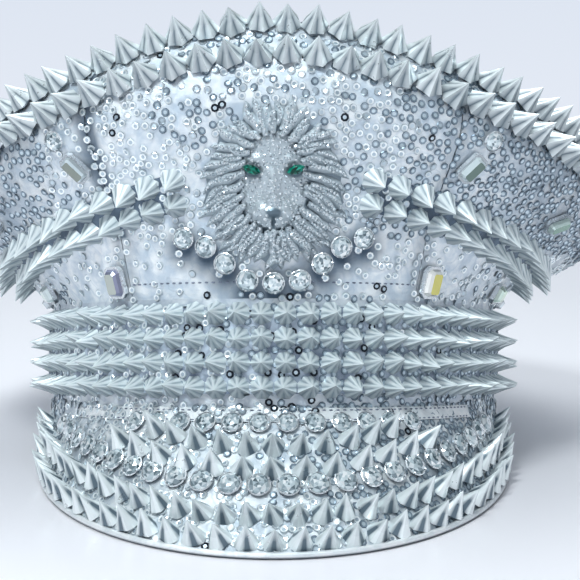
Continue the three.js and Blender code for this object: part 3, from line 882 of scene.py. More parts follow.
def foil_glass(name, shades=None, metallic=0.35, coat=1.0):
    """Cut glass over foil under a clear bright surface.

    Each facet shows its own one of the shades as a painted reflection or, without any, the mesh's own tint.
    """
    material, tree, shader = new_material(name)
    if shades:
        colour = ramped(tree, attribute_value(tree, "glint"), shades)
    else:
        colour = attribute_value(tree, "tint", "Color")
    surface = {"Metallic": metallic, "Roughness": 0.08, "Specular IOR Level": 0.5 * coat}
    fill(tree, shader, {"Base Color": colour, "Coat Weight": coat, "Coat Roughness": 0.02, **surface})
    return material


CLEAR_SHADES = [
    {"at": 0.0, "colour": (0.08, 0.12, 0.14)},
    {"at": 0.3, "colour": (0.34, 0.42, 0.46)},
    {"at": 0.65, "colour": (0.68, 0.77, 0.80)},
    {"at": 1.0, "colour": (1.0, 1.0, 1.0)},
]
clear_stone = foil_glass("clear cut stone", CLEAR_SHADES)
stone_random = np.random.default_rng(23)
setting_silver = plated_silver("setting silver", (0.90, 0.93, 0.95), (0.30, 0.35, 0.40))
cup_depth = -CUP_PROFILE[0]["height"]
cup_width = CUP_PROFILE[2]["width"]


def set_round_stones(name, backs, outs, radii, nodes):
    """Round cut stones in cups, their backs at the given places, standing for these CAD nodes."""
    points = backs + outs * (radii * cup_depth)[:, None]
    stands = standing_places(points, outs, radii, radii, stone_random, 0)
    cups = joined_copies(name + "_cups", pronged_cup(), stands)
    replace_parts(add_piece(name + "_cups", cups, setting_silver), *nodes)
    stones = joined_copies(name, round_cut(), stands, facet_random=stone_random)
    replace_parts(add_piece(name, stones, clear_stone), *nodes)


def set_on_seats(name, nodes, narrowed=1.0):
    """Round stones in cups in place of these CAD stones. Returns how those sit."""
    seats = [stone_seat(node) for node in nodes]
    backs = np.array([seat["middle"] for seat in seats])
    outs = np.array([seat["axes"][2] for seat in seats])
    radii = np.array([seat["half_sizes"][0] for seat in seats]) / narrowed
    set_round_stones(name, backs, outs, radii, nodes)
    return seats


drop_seats = set_on_seats("drop_stones", drop_nodes)

# Visor stones: two rows of round stones in cups between the rows of spikes on the visor.
# They are set at an even pitch, one row along the visor's edge and one at an even height.
VISOR_STONES = [
    {"name": "visor_stones_lower", "row": visor_row(24 * MM, 56), "pitch": 9.0 * MM, "radius": 3.9 * MM},
    {
        "name": "visor_stones_upper",
        "row": level_row(visor_tree, -40 * MM, 30),
        "pitch": 8.7 * MM,
        "radius": 3.6 * MM,
    },
]
# Painted shadow on the visor cloth just below each visor stone, put into its "seam" attribute.
STONE_SHADE = {"down": 3.2 * MM, "reach": 4.2 * MM, "depth": 0.85, "fullness": 1.5}

visor_stone_points = []
for row in VISOR_STONES:
    points, outs = even_places(row["row"], row["pitch"])
    radii = np.full(len(points), row["radius"]) / cup_width
    visor_stone_points.extend(points)
    set_round_stones(row["name"], points, outs, radii, [])

under_stones = points_tree([Vector(point) - hat_up * STONE_SHADE["down"] for point in visor_stone_points])
stone_shades = []
for vertex in visor_mesh.vertices:
    near = 1 - under_stones.find(vertex.co)[2] / STONE_SHADE["reach"]
    stone_shades.append(STONE_SHADE["depth"] * min(1, STONE_SHADE["fullness"] * max(0, near)))
set_values(visor_mesh, "seam", stone_shades)

# Crystals: twelve larger cut stones sewn on in pairs, two round and ten oblong with cut corners.
# The oblong ones are cut in steps over tinted foil, and each sits in a narrow silver setting.
STEPS = [{"inset": 0.2, "rise": 0.34}, {"inset": 0.2, "rise": 0.26}]
CORNER_CUT = 0.4
SETTING_WIDTH = 0.7 * MM
SETTING_HEIGHT = 0.45
FACET_SHADES = (0.6, 1.15)
# The facet colours below are partly the glass's tint and partly painted reflection.
OBLONG = [  # colours of the table, of the steps round it and of the girdle
    {
        "node": "crystal_upper_left",
        "table": (0.14, 0.24, 0.20),
        "steps": (0.80, 0.90, 0.92),
        "side": (0.30, 0.36, 0.42),
    },
    {
        "node": "crystal_upper_right",
        "table": (0.26, 0.30, 0.26),
        "steps": (0.72, 0.80, 0.84),
        "side": (0.34, 0.37, 0.46),
    },
    {
        "node": "crystal_side_left",
        "table": (0.12, 0.28, 0.20),
        "steps": (0.66, 0.80, 0.76),
        "side": (0.24, 0.32, 0.36),
    },
    {
        "node": "crystal_side_right",
        "table": (0.60, 0.66, 0.70),
        "steps": (0.85, 0.88, 0.92),
        "side": (0.36, 0.40, 0.48),
    },
    {
        "node": "crystal_stand_front_left",
        "table": (0.80, 0.72, 0.16),
        "steps": (0.86, 0.84, 0.80),
        "side": (0.34, 0.30, 0.52),
    },
    {
        "node": "crystal_stand_front_right",
        "table": (0.40, 0.43, 0.39),
        "steps": (0.30, 0.31, 0.45),
        "side": (0.12, 0.10, 0.22),
    },
    {
        "node": "crystal_stand_side_left",
        "table": (0.66, 0.96, 0.62),
        "steps": (0.80, 0.95, 0.84),
        "side": (0.24, 0.30, 0.36),
    },
    {
        "node": "crystal_stand_side_right",
        "table": (0.66, 0.86, 0.80),
        "steps": (0.86, 0.96, 0.96),
        "side": (0.36, 0.40, 0.50),
    },
    {
        "node": "crystal_stand_back_left",
        "table": (0.60, 0.68, 0.68),
        "steps": (0.80, 0.85, 0.88),
        "side": (0.34, 0.38, 0.46),
    },
    {
        "node": "crystal_stand_back_right",
        "table": (0.60, 0.68, 0.68),
        "steps": (0.80, 0.85, 0.88),
        "side": (0.34, 0.38, 0.46),
    },
]


def oblong_outline(half_width, half_height):
    """A flat oblong with its corners cut off."""
    shape = bmesh.new()
    bmesh.ops.create_grid(shape, x_segments=1, y_segments=1, size=1)
    bmesh.ops.scale(shape, verts=shape.verts, vec=(half_width, half_height, 1))
    bmesh.ops.bevel(
        shape,
        geom=shape.verts[:],
        offset=CORNER_CUT * min(half_width, half_height),
        affect="VERTICES",
        segments=1,
        profile=0.5,
        material=-1,
    )
    return shape


def raised(shape, height):
    """The shape's one flat face pulled up into a slab, whose top face is returned."""
    grown = bmesh.ops.extrude_face_region(shape, geom=shape.faces[:], use_keep_orig=True)
    bmesh.ops.translate(shape, verts=corners_among(grown), vec=(0, 0, height))
    bmesh.ops.recalc_face_normals(shape, faces=shape.faces)
    return max(shape.faces, key=lambda face: face.calc_center_median().z)


def seat_matrix(seat):
    """The matrix that lays a shape on a stone's seat."""
    turn = Matrix(seat["axes"]).transposed().to_4x4()
    return Matrix.Translation(seat["middle"]) @ turn


def step_cut(seat, colours):
    """An oblong stone cut in steps, with a tint on each facet, partly its colour and partly painted
    reflection.
    """
    half_width, half_height, depth = seat["half_sizes"]
    inner = (half_width - SETTING_WIDTH, half_height - SETTING_WIDTH)
    shape = oblong_outline(*inner)
    tint = shape.faces.layers.float_color.new("tint")
    table = raised(shape, depth * (1 - sum(step["rise"] for step in STEPS)))
    groups = {"side": [face for face in shape.faces if face is not table], "steps": []}
    for step in STEPS:
        sizes = {"thickness": step["inset"] * min(inner), "depth": step["rise"] * depth}
        rim = bmesh.ops.inset_region(shape, faces=[table], use_even_offset=True, **sizes)["faces"]
        groups["steps"].extend(rim)
    groups["table"] = [table]
    for group, faces in groups.items():
        for face in faces_in_order(shape, faces):
            face[tint] = (*(np.array(colours[group]) * stone_random.uniform(*FACET_SHADES)), 1)
    bmesh.ops.transform(shape, matrix=seat_matrix(seat), verts=shape.verts)
    return shape


def narrow_setting(seat):
    """A silver rim round an oblong stone."""
    half_width, half_height, depth = seat["half_sizes"]
    shape = oblong_outline(half_width, half_height)
    top = raised(shape, SETTING_HEIGHT * depth)
    bmesh.ops.inset_region(shape, faces=[top], thickness=SETTING_WIDTH, use_even_offset=True)
    sunk = bmesh.ops.extrude_face_region(shape, geom=[top])
    bmesh.ops.translate(shape, verts=corners_among(sunk), vec=(0, 0, -SETTING_HEIGHT * depth / 2))
    bmesh.ops.transform(shape, matrix=seat_matrix(seat), verts=shape.verts)
    return shape


tinted_stone = foil_glass("tinted cut stone", metallic=0.3)
crystal_seats = []
for stone in OBLONG:
    node = stone["node"]
    seat = stone_seat(node)
    crystal_seats.append(seat)
    setting = mesh_from(narrow_setting(seat), node + "_setting")
    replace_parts(add_piece(node + "_setting", setting, setting_silver), node)
    glass = mesh_from(step_cut(seat, stone), node + "_glass")
    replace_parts(add_piece(node + "_glass", glass, tinted_stone), node)
crystal_seats += set_on_seats("crystal_rounds", ["crystal_round_left", "crystal_round_right"], cup_width)

# Brooch: a cast silver lion's head in relief, with a mane of separate strands laid in three tiers.
# The face and the strands are set all over with small round stones, held in the cast metal.
# A feature's dark is painted shade in its hollow: the eye sockets, nostrils, mouth, lip and throat.
LION_FEATURES = [  # place in mm from the brooch's middle, how far it stands out, and how dark it is
    {"name": "forehead", "x": 0, "up": 17, "half_width": 9, "half_height": 7, "stands": 1.0, "dark": 0},
    {"name": "brow", "x": 6.2, "up": 12.4, "half_width": 5, "half_height": 2.4, "stands": 1.0, "dark": 0},
    {"name": "socket", "x": 6.6, "up": 8.8, "half_width": 4.6, "half_height": 2.8, "stands": -1, "dark": 0.7},
    {"name": "nose bridge", "x": 0, "up": 3, "half_width": 3, "half_height": 9, "stands": 0.9, "dark": 0},
    {"name": "nose", "x": 0, "up": -4.2, "half_width": 3.4, "half_height": 2.2, "stands": 1.3, "dark": 1},
    {"name": "muzzle", "x": 4.6, "up": -4.2, "half_width": 4.6, "half_height": 4.2, "stands": 1, "dark": 0},
    {"name": "mouth", "x": 0, "up": -7.2, "half_width": 1.0, "half_height": 2.4, "stands": -0.9, "dark": 1},
    {"name": "lip", "x": 3.2, "up": -9.2, "half_width": 3.8, "half_height": 1.0, "stands": -0.9, "dark": 1},
    {"name": "chin", "x": 0, "up": -11, "half_width": 4, "half_height": 2.2, "stands": 0.8, "dark": 0},
    {"name": "throat", "x": 0, "up": -14, "half_width": 5, "half_height": 1.8, "stands": -0.8, "dark": 1},
    {"name": "cheek", "x": 9.2, "up": 1.5, "half_width": 3.6, "half_height": 5.5, "stands": 0.9, "dark": 0},
]
EYE_UP = 9 * MM
FACE = {"up": 5 * MM, "half_width": 10.5 * MM, "half_height": 15.5 * MM}
FRONT_FACING = 0.2
# Painted shade on the cast metal: deep between the mane's strands, lighter between the face's stones.
MANE_DARK = 0.95
FACE_DARK = 0.6
STRAND_TIERS = [  # roots and tips are parts of the way from the face to the outline
    {"count": 46, "root": 0.34, "tip": 1.1, "width": 3.1 * MM, "root_lift": 0.4 * MM, "tip_lift": 0.3 * MM},
    {"count": 36, "root": 0.08, "tip": 0.86, "width": 3 * MM, "root_lift": 0.9 * MM, "tip_lift": 0.8 * MM},
    {"count": 28, "root": -0.1, "tip": 0.5, "width": 2.6 * MM, "root_lift": 1.0 * MM, "tip_lift": 1.3 * MM},
]
STRAND_WIDTHS = [0.6, 0.82, 0.96, 1.0, 0.95, 0.8, 0.52, 0.08]
STRAND_RIDGE = 0.42
STRAND_SKIRT = 0.5
STRAND_SAG = 4.5 * MM
STRAND_CURL = 1.5 * MM
CURL_RANGE = (-0.4, 1.0)
TIP_RANGE = (-0.06, 0.05)
TURN_RANGE = (-0.2, 0.2)
SIZE_RANGE = (0.85, 1.1)
OUTLINE_STEP = 15  # degrees
BROOCH_FRONT = 0.3  # metres to the front, clear of the hat
TOP_TUFT = 0.36
CORNER_TUFT = 0.14
PAVE_RADIUS = 0.6 * MM
PAVE_PITCH = 1.25 * MM
FACE_PITCH = 0.92 * PAVE_PITCH
FACE_TRIES = 6000
BARE_FROM = 0.25
PAVE_FROM = 0.1
PAVE_TO = 0.86
PAVE_TILT = math.radians(9)
PAVE_RINGS = [
    {"width": 0.9, "height": -0.3},
    {"width": 1.0, "height": 0.1},
    {"width": 0.55, "height": 0.5},
    {"width": 0.0, "height": 0.52},
]

hat_front = -hat_back
eye_corners = [to_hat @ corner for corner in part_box("brooch_eye_left")]
brooch_height = (eye_corners[0].z + eye_corners[1].z) / 2 - EYE_UP


def bump(offset_x, offset_up, feature):
    """How much of a feature there is at an offset from its middle: 1 there, 0 at its rim."""
    away = (offset_x / feature["half_width"]) ** 2 + (offset_up / feature["half_height"]) ** 2
    return max(0, 1 - away) ** 2


def lion_relief():
    """The brooch's solid, rounded, with the lion's finer features pressed into its front and painted shade in
    its hollows.
    """
    mesh = rounded_mesh(merged_node("brooch"), "brooch_relief", 3, math.radians(65))
    rises = []
    shades = []
    for vertex in mesh.vertices:
        place = (to_hat @ vertex.co) / MM
        up = place.z - brooch_height / MM
        amounts = [bump(abs(place.x) - row["x"], up - row["up"], row) for row in LION_FEATURES]
        is_front = vertex.normal.dot(hat_front) > FRONT_FACING
        rises.append(sum(amount * row["stands"] for amount, row in zip(amounts, LION_FEATURES)) * is_front)
        across_face = place.x * MM / FACE["half_width"]
        from_face = math.hypot(across_face, (up * MM - FACE["up"]) / FACE["half_height"])
        shade = sum(amount * row["dark"] for amount, row in zip(amounts, LION_FEATURES))
        shades.append(shade + (MANE_DARK if from_face > 1 else FACE_DARK))
    for vertex, rise in zip(mesh.vertices, rises):
        vertex.co += hat_front * rise * MM
    set_values(mesh, "fold_shade", np.minimum(1, shades))
    mesh.update()
    return mesh


relief_mesh = lion_relief()
relief_tree = tree_of(relief_mesh)
brooch_silver = plated_silver("brooch silver", (0.74, 0.81, 0.85), (0.13, 0.18, 0.22), 0.3, 0.45, 0.55, 0.5)
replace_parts(add_piece("brooch_relief", relief_mesh, brooch_silver), "brooch")


def brooch_spot(x, up):
    """The point of the brooch, or of the crown beside it, that is seen from the front at a place."""
    start = hat_frame @ Vector((x, -BROOCH_FRONT, brooch_height + up))
    for tree in (relief_tree, crown_trees["crown_front"]):
        point, normal = tree.ray_cast(start, hat_back)[:2]
        if point is not None:
            return point, normal
    raise ValueError("nothing of the hat lies there")


def outline_reach():
    """The brooch's outline, seen from the middle of its face: angles and distances."""
    reach = {}
    for vertex in frame["nodes"]["brooch"].data.vertices:
        place = to_hat @ vertex.co
        x, up = place.x, place.z - brooch_height - FACE["up"]
        step = round(math.degrees(math.atan2(up, x)) / OUTLINE_STEP)
        reach[step] = max(reach.get(step, 0), math.hypot(x, up))
    steps = sorted(reach)
    return [math.radians(step * OUTLINE_STEP) for step in steps], [reach[step] for step in steps]


outline_angles, outline_distances = outline_reach()


def strand_line(tier, turn, random):
    """Points, side directions and out directions of one strand of the mane, from root to tip."""
    way = np.array([math.cos(turn), math.sin(turn)])
    from_face = way * [FACE["half_width"], FACE["half_height"]]
    to_edge = way * np.interp(turn, outline_angles, outline_distances, period=2 * math.pi)
    tuft = 1 + TOP_TUFT * max(0, way[1]) ** 3 + CORNER_TUFT * (2 * way[0] * way[1]) ** 2
    length = (tier["tip"] + random.uniform(*TIP_RANGE)) * tuft
    curl = random.uniform(*CURL_RANGE) * STRAND_CURL * (1 if way[0] > 0 else -1)
    spots = []
    for t in np.linspace(0, 1, len(STRAND_WIDTHS)):
        part = tier["root"] + (length - tier["root"]) * t
        flat = from_face + (to_edge - from_face) * part
        flat = flat + np.array([way[1], -way[0]]) * curl * math.sin(1.5 * math.pi * t)
        flat[1] -= STRAND_SAG * abs(way[0]) * t * t
        point, normal = brooch_spot(flat[0], flat[1] + FACE["up"])
        lift = tier["root_lift"] + (tier["tip_lift"] - tier["root_lift"]) * t
        out = (normal + 2 * hat_front).normalized()
        spots.append((point + out * lift, out))
    points = np.array([point for point, _ in spots])
    outs = np.array([out for _, out in spots])
    sides = np.cross(np.gradient(points, axis=0), outs)
    return points, units(sides), outs


def face_up(shape):
    """Turns the faces of an open shape outwards, so that most look up."""
    bmesh.ops.recalc_face_normals(shape, faces=shape.faces)
    if sum(face.normal.z for face in shape.faces) < 0:
        bmesh.ops.reverse_faces(shape, faces=shape.faces)


def unit_strand():
    """A leaf of unit width with a raised ridge and turned-down edges, one row of corners a station."""
    shape = bmesh.new()
    bmesh.ops.create_grid(shape, x_segments=2, y_segments=len(STRAND_WIDTHS) - 1, size=0.5)
    fold_shade = shape.verts.layers.float.new("fold_shade")
    ridge = [vertex for vertex in shape.verts if abs(vertex.co.x) < 0.1]
    bmesh.ops.translate(shape, verts=ridge, vec=(0, 0, STRAND_RIDGE))
    border = [edge for edge in shape.edges if edge.is_boundary]
    skirt = corners_among(bmesh.ops.extrude_edge_only(shape, edges=border))
    bmesh.ops.translate(shape, verts=skirt, vec=(0, 0, -STRAND_SKIRT))
    # painted shade on the strand's low corners, most on its turned-down edges
    for vertex in shape.verts:
        vertex[fold_shade] = 0 if vertex.co.z > 0.01 else 0.7
    for vertex in skirt:
        vertex[fold_shade] = 1
    face_up(shape)
    return shape


brooch_random = np.random.default_rng(41)
strand_lines = []
strand_widths = []
for tier in STRAND_TIERS:
    for k in range(tier["count"]):
        turn = 2 * math.pi * (k + brooch_random.uniform(*TURN_RANGE)) / tier["count"] - math.pi
        strand_lines.append(strand_line(tier, turn, brooch_random))
        strand_widths.append(tier["width"] * brooch_random.uniform(*SIZE_RANGE))
strand_points, strand_sides, strand_outs = (np.array(parts) for parts in zip(*strand_lines))
strand_spans = np.outer(strand_widths, STRAND_WIDTHS)[:, :, None]
strand = unit_strand()
corners = np.array([vertex.co for vertex in strand.verts])
stations = np.round((corners[:, 1] + 0.5) * (len(STRAND_WIDTHS) - 1)).astype(int)
across = strand_sides[:, stations] * strand_spans[:, stations] * corners[:, 0, None]
upward = strand_outs[:, stations] * strand_spans[:, stations] * corners[:, 2, None]
mane_mesh = copies_mesh("brooch_mane", strand, strand_points[:, stations] + across + upward)
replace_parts(add_piece("brooch_mane", mane_mesh, brooch_silver), "brooch")

pave_points = []
pave_outs = []
for points, outs, spans in zip(strand_points, strand_outs, strand_spans):
    lengths = lengths_along(points)
    wanted = np.arange(PAVE_FROM * lengths[-1], PAVE_TO * lengths[-1], PAVE_PITCH)
    heights = np.interp(wanted, lengths, spans[:, 0]) * STRAND_RIDGE
    stone_outs = at_lengths(wanted, lengths, outs)
    pave_points.extend(at_lengths(wanted, lengths, points) + stone_outs * heights[:, None])
    pave_outs.extend(stone_outs)


def on_face(x, up):
    """Whether a place on the brooch is part of the face that takes small stones."""
    in_face = (x / FACE["half_width"]) ** 2 + ((up - FACE["up"]) / FACE["half_height"]) ** 2 < 1
    bare = [row for row in LION_FEATURES if row["dark"] > 0]
    shades = [bump(abs(x) / MM - row["x"], up / MM - row["up"], row) for row in bare]
    return in_face and max(shades) < BARE_FROM


face_spots = []
for _ in range(FACE_TRIES):
    x = brooch_random.uniform(-1, 1) * FACE["half_width"]
    up = FACE["up"] + brooch_random.uniform(-1, 1) * FACE["half_height"]
    is_free = all(math.hypot(x - spot[0], up - spot[1]) > FACE_PITCH for spot in face_spots)
    if is_free and on_face(x, up):
        face_spots.append((x, up))
        point, normal = brooch_spot(x, up)
        pave_points.append(np.array(point))
        pave_outs.append(np.array((normal + hat_front).normalized()))
pave_points = np.array(pave_points)
pave_outs = np.array(pave_outs)
pave_sizes = PAVE_RADIUS * brooch_random.uniform(*SIZE_RANGE, len(pave_points))
pave_stands = standing_places(pave_points, pave_outs, pave_sizes, pave_sizes, brooch_random, PAVE_TILT)
small_stone = ringed_shape(6, PAVE_RINGS, True)
pave_mesh = joined_copies("brooch_stones", small_stone, pave_stands, facet_random=brooch_random)
SMALL_SHADES = [
    {"at": 0.0, "colour": (0.13, 0.17, 0.20)},
    {"at": 0.3, "colour": (0.42, 0.50, 0.55)},
    {"at": 0.65, "colour": (0.72, 0.80, 0.84)},
    {"at": 1.0, "colour": (1.0, 1.0, 1.0)},
]
pave_glass = foil_glass("small stones", SMALL_SHADES)
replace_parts(add_piece("brooch_stones", pave_mesh, pave_glass), "brooch")

# Lion's eyes: a pair of green marquise stones, cut with a table and a ring of facets.
# Each lies in its socket in the cast face, with its inner end the lower one.
EYE_TABLE = 0.3
EYE_RISE = 0.15 * MM
EMERALD_SHADES = [
    {"at": 0.0, "colour": (0.001, 0.016, 0.012)},
    {"at": 0.4, "colour": (0.002, 0.09, 0.06)},
    {"at": 0.8, "colour": (0.004, 0.22, 0.15)},
    {"at": 1.0, "colour": (0.03, 0.38, 0.28)},
]


def marquise_eye(node):
    """The CAD stone with its flat facets whole again, cut once more round its table."""
    shape = merged_node(node)
    whole_facets(shape)
    table = max(shape.faces, key=lambda face: face.calc_center_median().dot(hat_front))
    half = min(edge.calc_length() for edge in table.edges)
    bmesh.ops.inset_region(shape, faces=[table], thickness=EYE_TABLE * half, depth=EYE_RISE)
    bmesh.ops.poke(shape, faces=[face for face in shape.faces if len(face.verts) > 3])
    glint = shape.faces.layers.float.new("glint")
    for face in shape.faces:
        face[glint] = stone_random.random()
    return shape


emerald = foil_glass("emerald", EMERALD_SHADES, 0.0, 0.25)
for node in ("brooch_eye_left", "brooch_eye_right"):
    eye_mesh = mesh_from(marquise_eye(node), node + "_stone")
    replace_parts(add_piece(node + "_stone", eye_mesh, emerald), node)

# Visor strip: a narrow plain strip of silver-white cloth sewn over the seam between visor and band.
# It is stitched along both edges, and the row of stitches low on the crown is made here too.
STRIP_TOP = -35.4 * MM
STRIP_BOTTOM = -39.6 * MM
STRIP_REACH = 46  # degrees to each side of the front
STRIP_THICKNESS = 0.5 * MM
STITCH_PITCH = 2.3 * MM
STITCH_LENGTH = 0.75 * MM
STITCH_RADIUS = 0.3 * MM
TOP_MARGIN = 0.7 * MM
BOTTOM_MARGIN = 0.5 * MM
CROWN_STITCHES = {"height": 5 * MM, "reach": 31, "count": 121, "lift": 0.1 * MM}


def strip_mesh():
    """A grid of four rows folded round two level lines along the visor, thin at both ends."""
    lines = [level_row(visor_tree, height, STRIP_REACH) for height in (STRIP_BOTTOM, STRIP_TOP)]
    columns = len(lines[0]) - 1
    shape = bmesh.new()
    bmesh.ops.create_grid(shape, x_segments=columns, y_segments=4, size=0.5)
    for vertex in shape.verts:
        row = round((vertex.co.y + 0.5) * 4) % 4
        column = round((vertex.co.x + 0.5) * columns)
        point, out = lines[row // 2][column]
        is_outside = row in (1, 2) and 0 < column < columns
        vertex.co = point + out * (STRIP_THICKNESS if is_outside else 0)
    bmesh.ops.remove_doubles(shape, verts=shape.verts, dist=MERGE_DISTANCE)
    return mesh_from(shape, "visor_strip")


def stitch_places(row, lift):
    """Matrices that lay a unit stitch along a row, once each pitch."""
    points, outs = even_places(row, STITCH_PITCH)
    alongs = units(np.gradient(points, axis=0))
    sides = np.cross(outs, alongs)
    columns = [alongs * STITCH_LENGTH, sides * STITCH_RADIUS, outs * STITCH_RADIUS, points + outs * lift]
    return np.stack(columns, axis=2)


strip = strip_mesh()
add_piece("visor_strip", strip, binding_material)
stitch_shape = bmesh.new()
bmesh.ops.create_icosphere(stitch_shape, subdivisions=1, radius=1)
crown_line = [CROWN_STITCHES[key] for key in ("height", "reach", "count")]
crown_row = level_row(crown_trees["crown_front"], *crown_line)
stitch_stacks = [
    stitch_places(level_row(visor_tree, height, STRIP_REACH - 1), STRIP_THICKNESS)
    for height in (STRIP_TOP - TOP_MARGIN, STRIP_BOTTOM + BOTTOM_MARGIN)
]
stitch_stacks.append(stitch_places(crown_row, CROWN_STITCHES["lift"]))
thread_material = silver_cloth("sewing thread", (0.10, 0.12, 0.18), (0.26, 0.30, 0.38), 0.0)
stitches = joined_copies("stitches", stitch_shape, np.concatenate(stitch_stacks))
add_piece("stitches", stitches, thread_material)

# Sequins: small silver rings with raised brims, sewn close together all over the cloth.
# They are strewn with a least distance between them, clear of the studs, the stones and the brooch.
SEQUIN_PROFILE = [
    {"width": 1.0, "height": 0.0},
    {"width": 0.84, "height": 0.2},
    {"width": 0.46, "height": 0.1},
]
BRIM, FOIL, HOLE = 0.0, 1.0, 2.0
# The rings' painted light and shade: in patches, more shaded towards the wearer's left and far to the sides,
# less on the crown's stand.
PATCHES_PER_METRE = 26
SHADED_REACH = 50 * MM
CROWN_LEAN = 0.85
LEAN = 0.55
STAND_LEAN = -0.6
PATCHINESS = 1.2
RING_SHADE_CONTRAST = 3
FAR_SIDE = 75 * MM
BLACK_SHARE = 0.005
FLOOR_GAP = 1.8 * MM
SEQUIN_SIDES = 8
SEQUIN_RADIUS = 1.36 * MM
SEQUIN_SIZES = (0.95, 1.05)
SEQUIN_LIFT = 0.12 * MM
SEQUIN_TILT = math.radians(9)
STAND_SHARE = 0.5
THIN_SIDE_SHARE = 0.85
BAND_MARGIN = -31.6 * MM
PLAIN_STRIP = 14 * MM
CLEAR_OF_STUDS = 2.9 * MM
CLEAR_OF_STONES = 3.9 * MM
CLEAR_OF_SEATS = 0.6 * MM
CLEAR_OF_BROOCH = 1.2 * MM
TRIES = 20
LID_FACING = 0.5
SEQUIN_CLOTHS = [  # spacing in mm, lean of the rings' painted shade, and height of a point that the rings face away from
    {"name": "crown_front", "spacing": 2.45, "lean": CROWN_LEAN, "inside": CROWN_INSIDE},
    {"name": "crown_left", "spacing": 2.4, "lean": CROWN_LEAN, "inside": CROWN_INSIDE},
    {"name": "crown_right", "spacing": 2.65, "lean": CROWN_LEAN, "inside": CROWN_INSIDE},
    {"name": "crown_back", "spacing": 2.6, "lean": CROWN_LEAN, "inside": CROWN_INSIDE},
    {"name": "crown_top", "spacing": 3.1, "lean": 0, "inside": -60 * MM},
    {"name": "visor", "spacing": 2.25, "lean": LEAN, "inside": 0.0},
    {"name": "visor_strip", "spacing": 2.4, "lean": LEAN, "inside": 0.0},
    {"name": "head_band", "spacing": 2.4, "lean": LEAN, "inside": -10 * MM},
    {"name": "band_tape", "spacing": 2.5, "lean": LEAN, "inside": -10 * MM},
]
# The wide patches under the rim studs and on the band are painted shade.
DARK_PATCHES = [  # where nearly black rings lie, in mm in the hat's frame, and the share of the rings there
    {"x": 4, "up": 74, "half_width": 22, "half_height": 2, "share": 0.4},
    {"x": -17, "up": 58.5, "half_width": 1.6, "half_height": 1.6, "share": 0.9},
    {"x": -20.5, "up": 51, "half_width": 1.6, "half_height": 1.6, "share": 0.9},
    {"x": 24, "up": 55.5, "half_width": 2.4, "half_height": 1.6, "share": 0.9},
    {"x": 33, "up": 4, "half_width": 5, "half_height": 3, "share": 0.7},
    {"x": 0, "up": -18, "half_width": 32, "half_height": 14, "share": 0.35},
    {"x": 4, "up": -34, "half_width": 12, "half_height": 3, "share": 0.3},
]


def outer_triangles(mesh, inside):
    """The corners of the mesh's triangles that face away from a point inside the hat."""
    mesh.calc_loop_triangles()
    corners = np.empty(len(mesh.vertices) * 3)
    mesh.vertices.foreach_get("co", corners)
    indices = np.empty(len(mesh.loop_triangles) * 3, int)
    mesh.loop_triangles.foreach_get("vertices", indices)
    triangles = corners.reshape(-1, 3)[indices.reshape(-1, 3)]
    ways = np.cross(triangles[:, 1] - triangles[:, 0], triangles[:, 2] - triangles[:, 0])
    middle = np.array(hat_frame @ Vector((0, 0, inside)))
    faces_out = np.einsum("ij,ij->i", triangles.mean(1) - middle, ways) > 0
    return triangles[faces_out], ways[faces_out]


def strewn(mesh, inside, spacing, random):
    """Points and normals strewn over the mesh's outside, none nearer to another than the spacing."""
    triangles, ways = outer_triangles(mesh, inside)
    doubled = np.linalg.norm(ways, axis=1)
    tries = int(doubled.sum() / 2 / spacing**2 * TRIES)
    picked = random.choice(len(triangles), tries, p=doubled / doubled.sum())
    first, second = random.random((2, tries))
    folded = first + second > 1
    first[folded], second[folded] = 1 - first[folded], 1 - second[folded]
    a, b, c = triangles[picked].transpose(1, 0, 2)
    points = a + (b - a) * first[:, None] + (c - a) * second[:, None]
    cells = np.floor(points / spacing).astype(int)
    taken = {}
    kept = []
    for k, (cell, point) in enumerate(zip(map(tuple, cells), points)):
        near = (
            other
            for x in (-1, 0, 1)
            for y in (-1, 0, 1)
            for z in (-1, 0, 1)
            for other in taken.get((cell[0] + x, cell[1] + y, cell[2] + z), ())
        )
        if all(((point - other) ** 2).sum() > spacing**2 for other in near):
            taken.setdefault(cell, []).append(point)
            kept.append(k)
    return points[kept], ways[picked[kept]] / doubled[picked[kept]][:, None]


def clear_of(points, obstacles):
    """Which of the points keep clear of all obstacles, each a place and a distance."""
    is_clear = np.ones(len(points), bool)
    for place, distance in obstacles:
        is_clear &= ((points - np.array(place)) ** 2).sum(1) > distance**2
    return is_clear


def part_mask(tree, value):
    """1 on the faces of a sequin whose "part" is this value, and 0 on the others."""
    return maths(tree, "COMPARE", attribute_value(tree, "part"), value, 0.1)


def sequin_silver():
    """Silver foil with painted light and shade: lit rings darker in the hole, shaded ones in the brim; a few
    black.
    """
    material, tree, shader = new_material("sequin silver")
    painted_ring_shade = attribute_value(tree, "painted_ring_shade")
    foil = mixed(tree, painted_ring_shade, (0.95, 0.99, 1.0), (0.25, 0.32, 0.38))
    brim = mixed(tree, painted_ring_shade, (0.60, 0.68, 0.72), (0.15, 0.20, 0.25))
    hole = mixed(tree, painted_ring_shade, (0.44, 0.53, 0.60), (0.58, 0.67, 0.73))
    silver = mixed(tree, part_mask(tree, BRIM), foil, brim)
    blackened = mixed(tree, attribute_value(tree, "black"), silver, (0.015, 0.02, 0.03))
    colour = mixed(tree, part_mask(tree, HOLE), blackened, hole)
    fill(tree, shader, {"Base Color": colour, "Metallic": 0.6, "Roughness": 0.3})
    return material


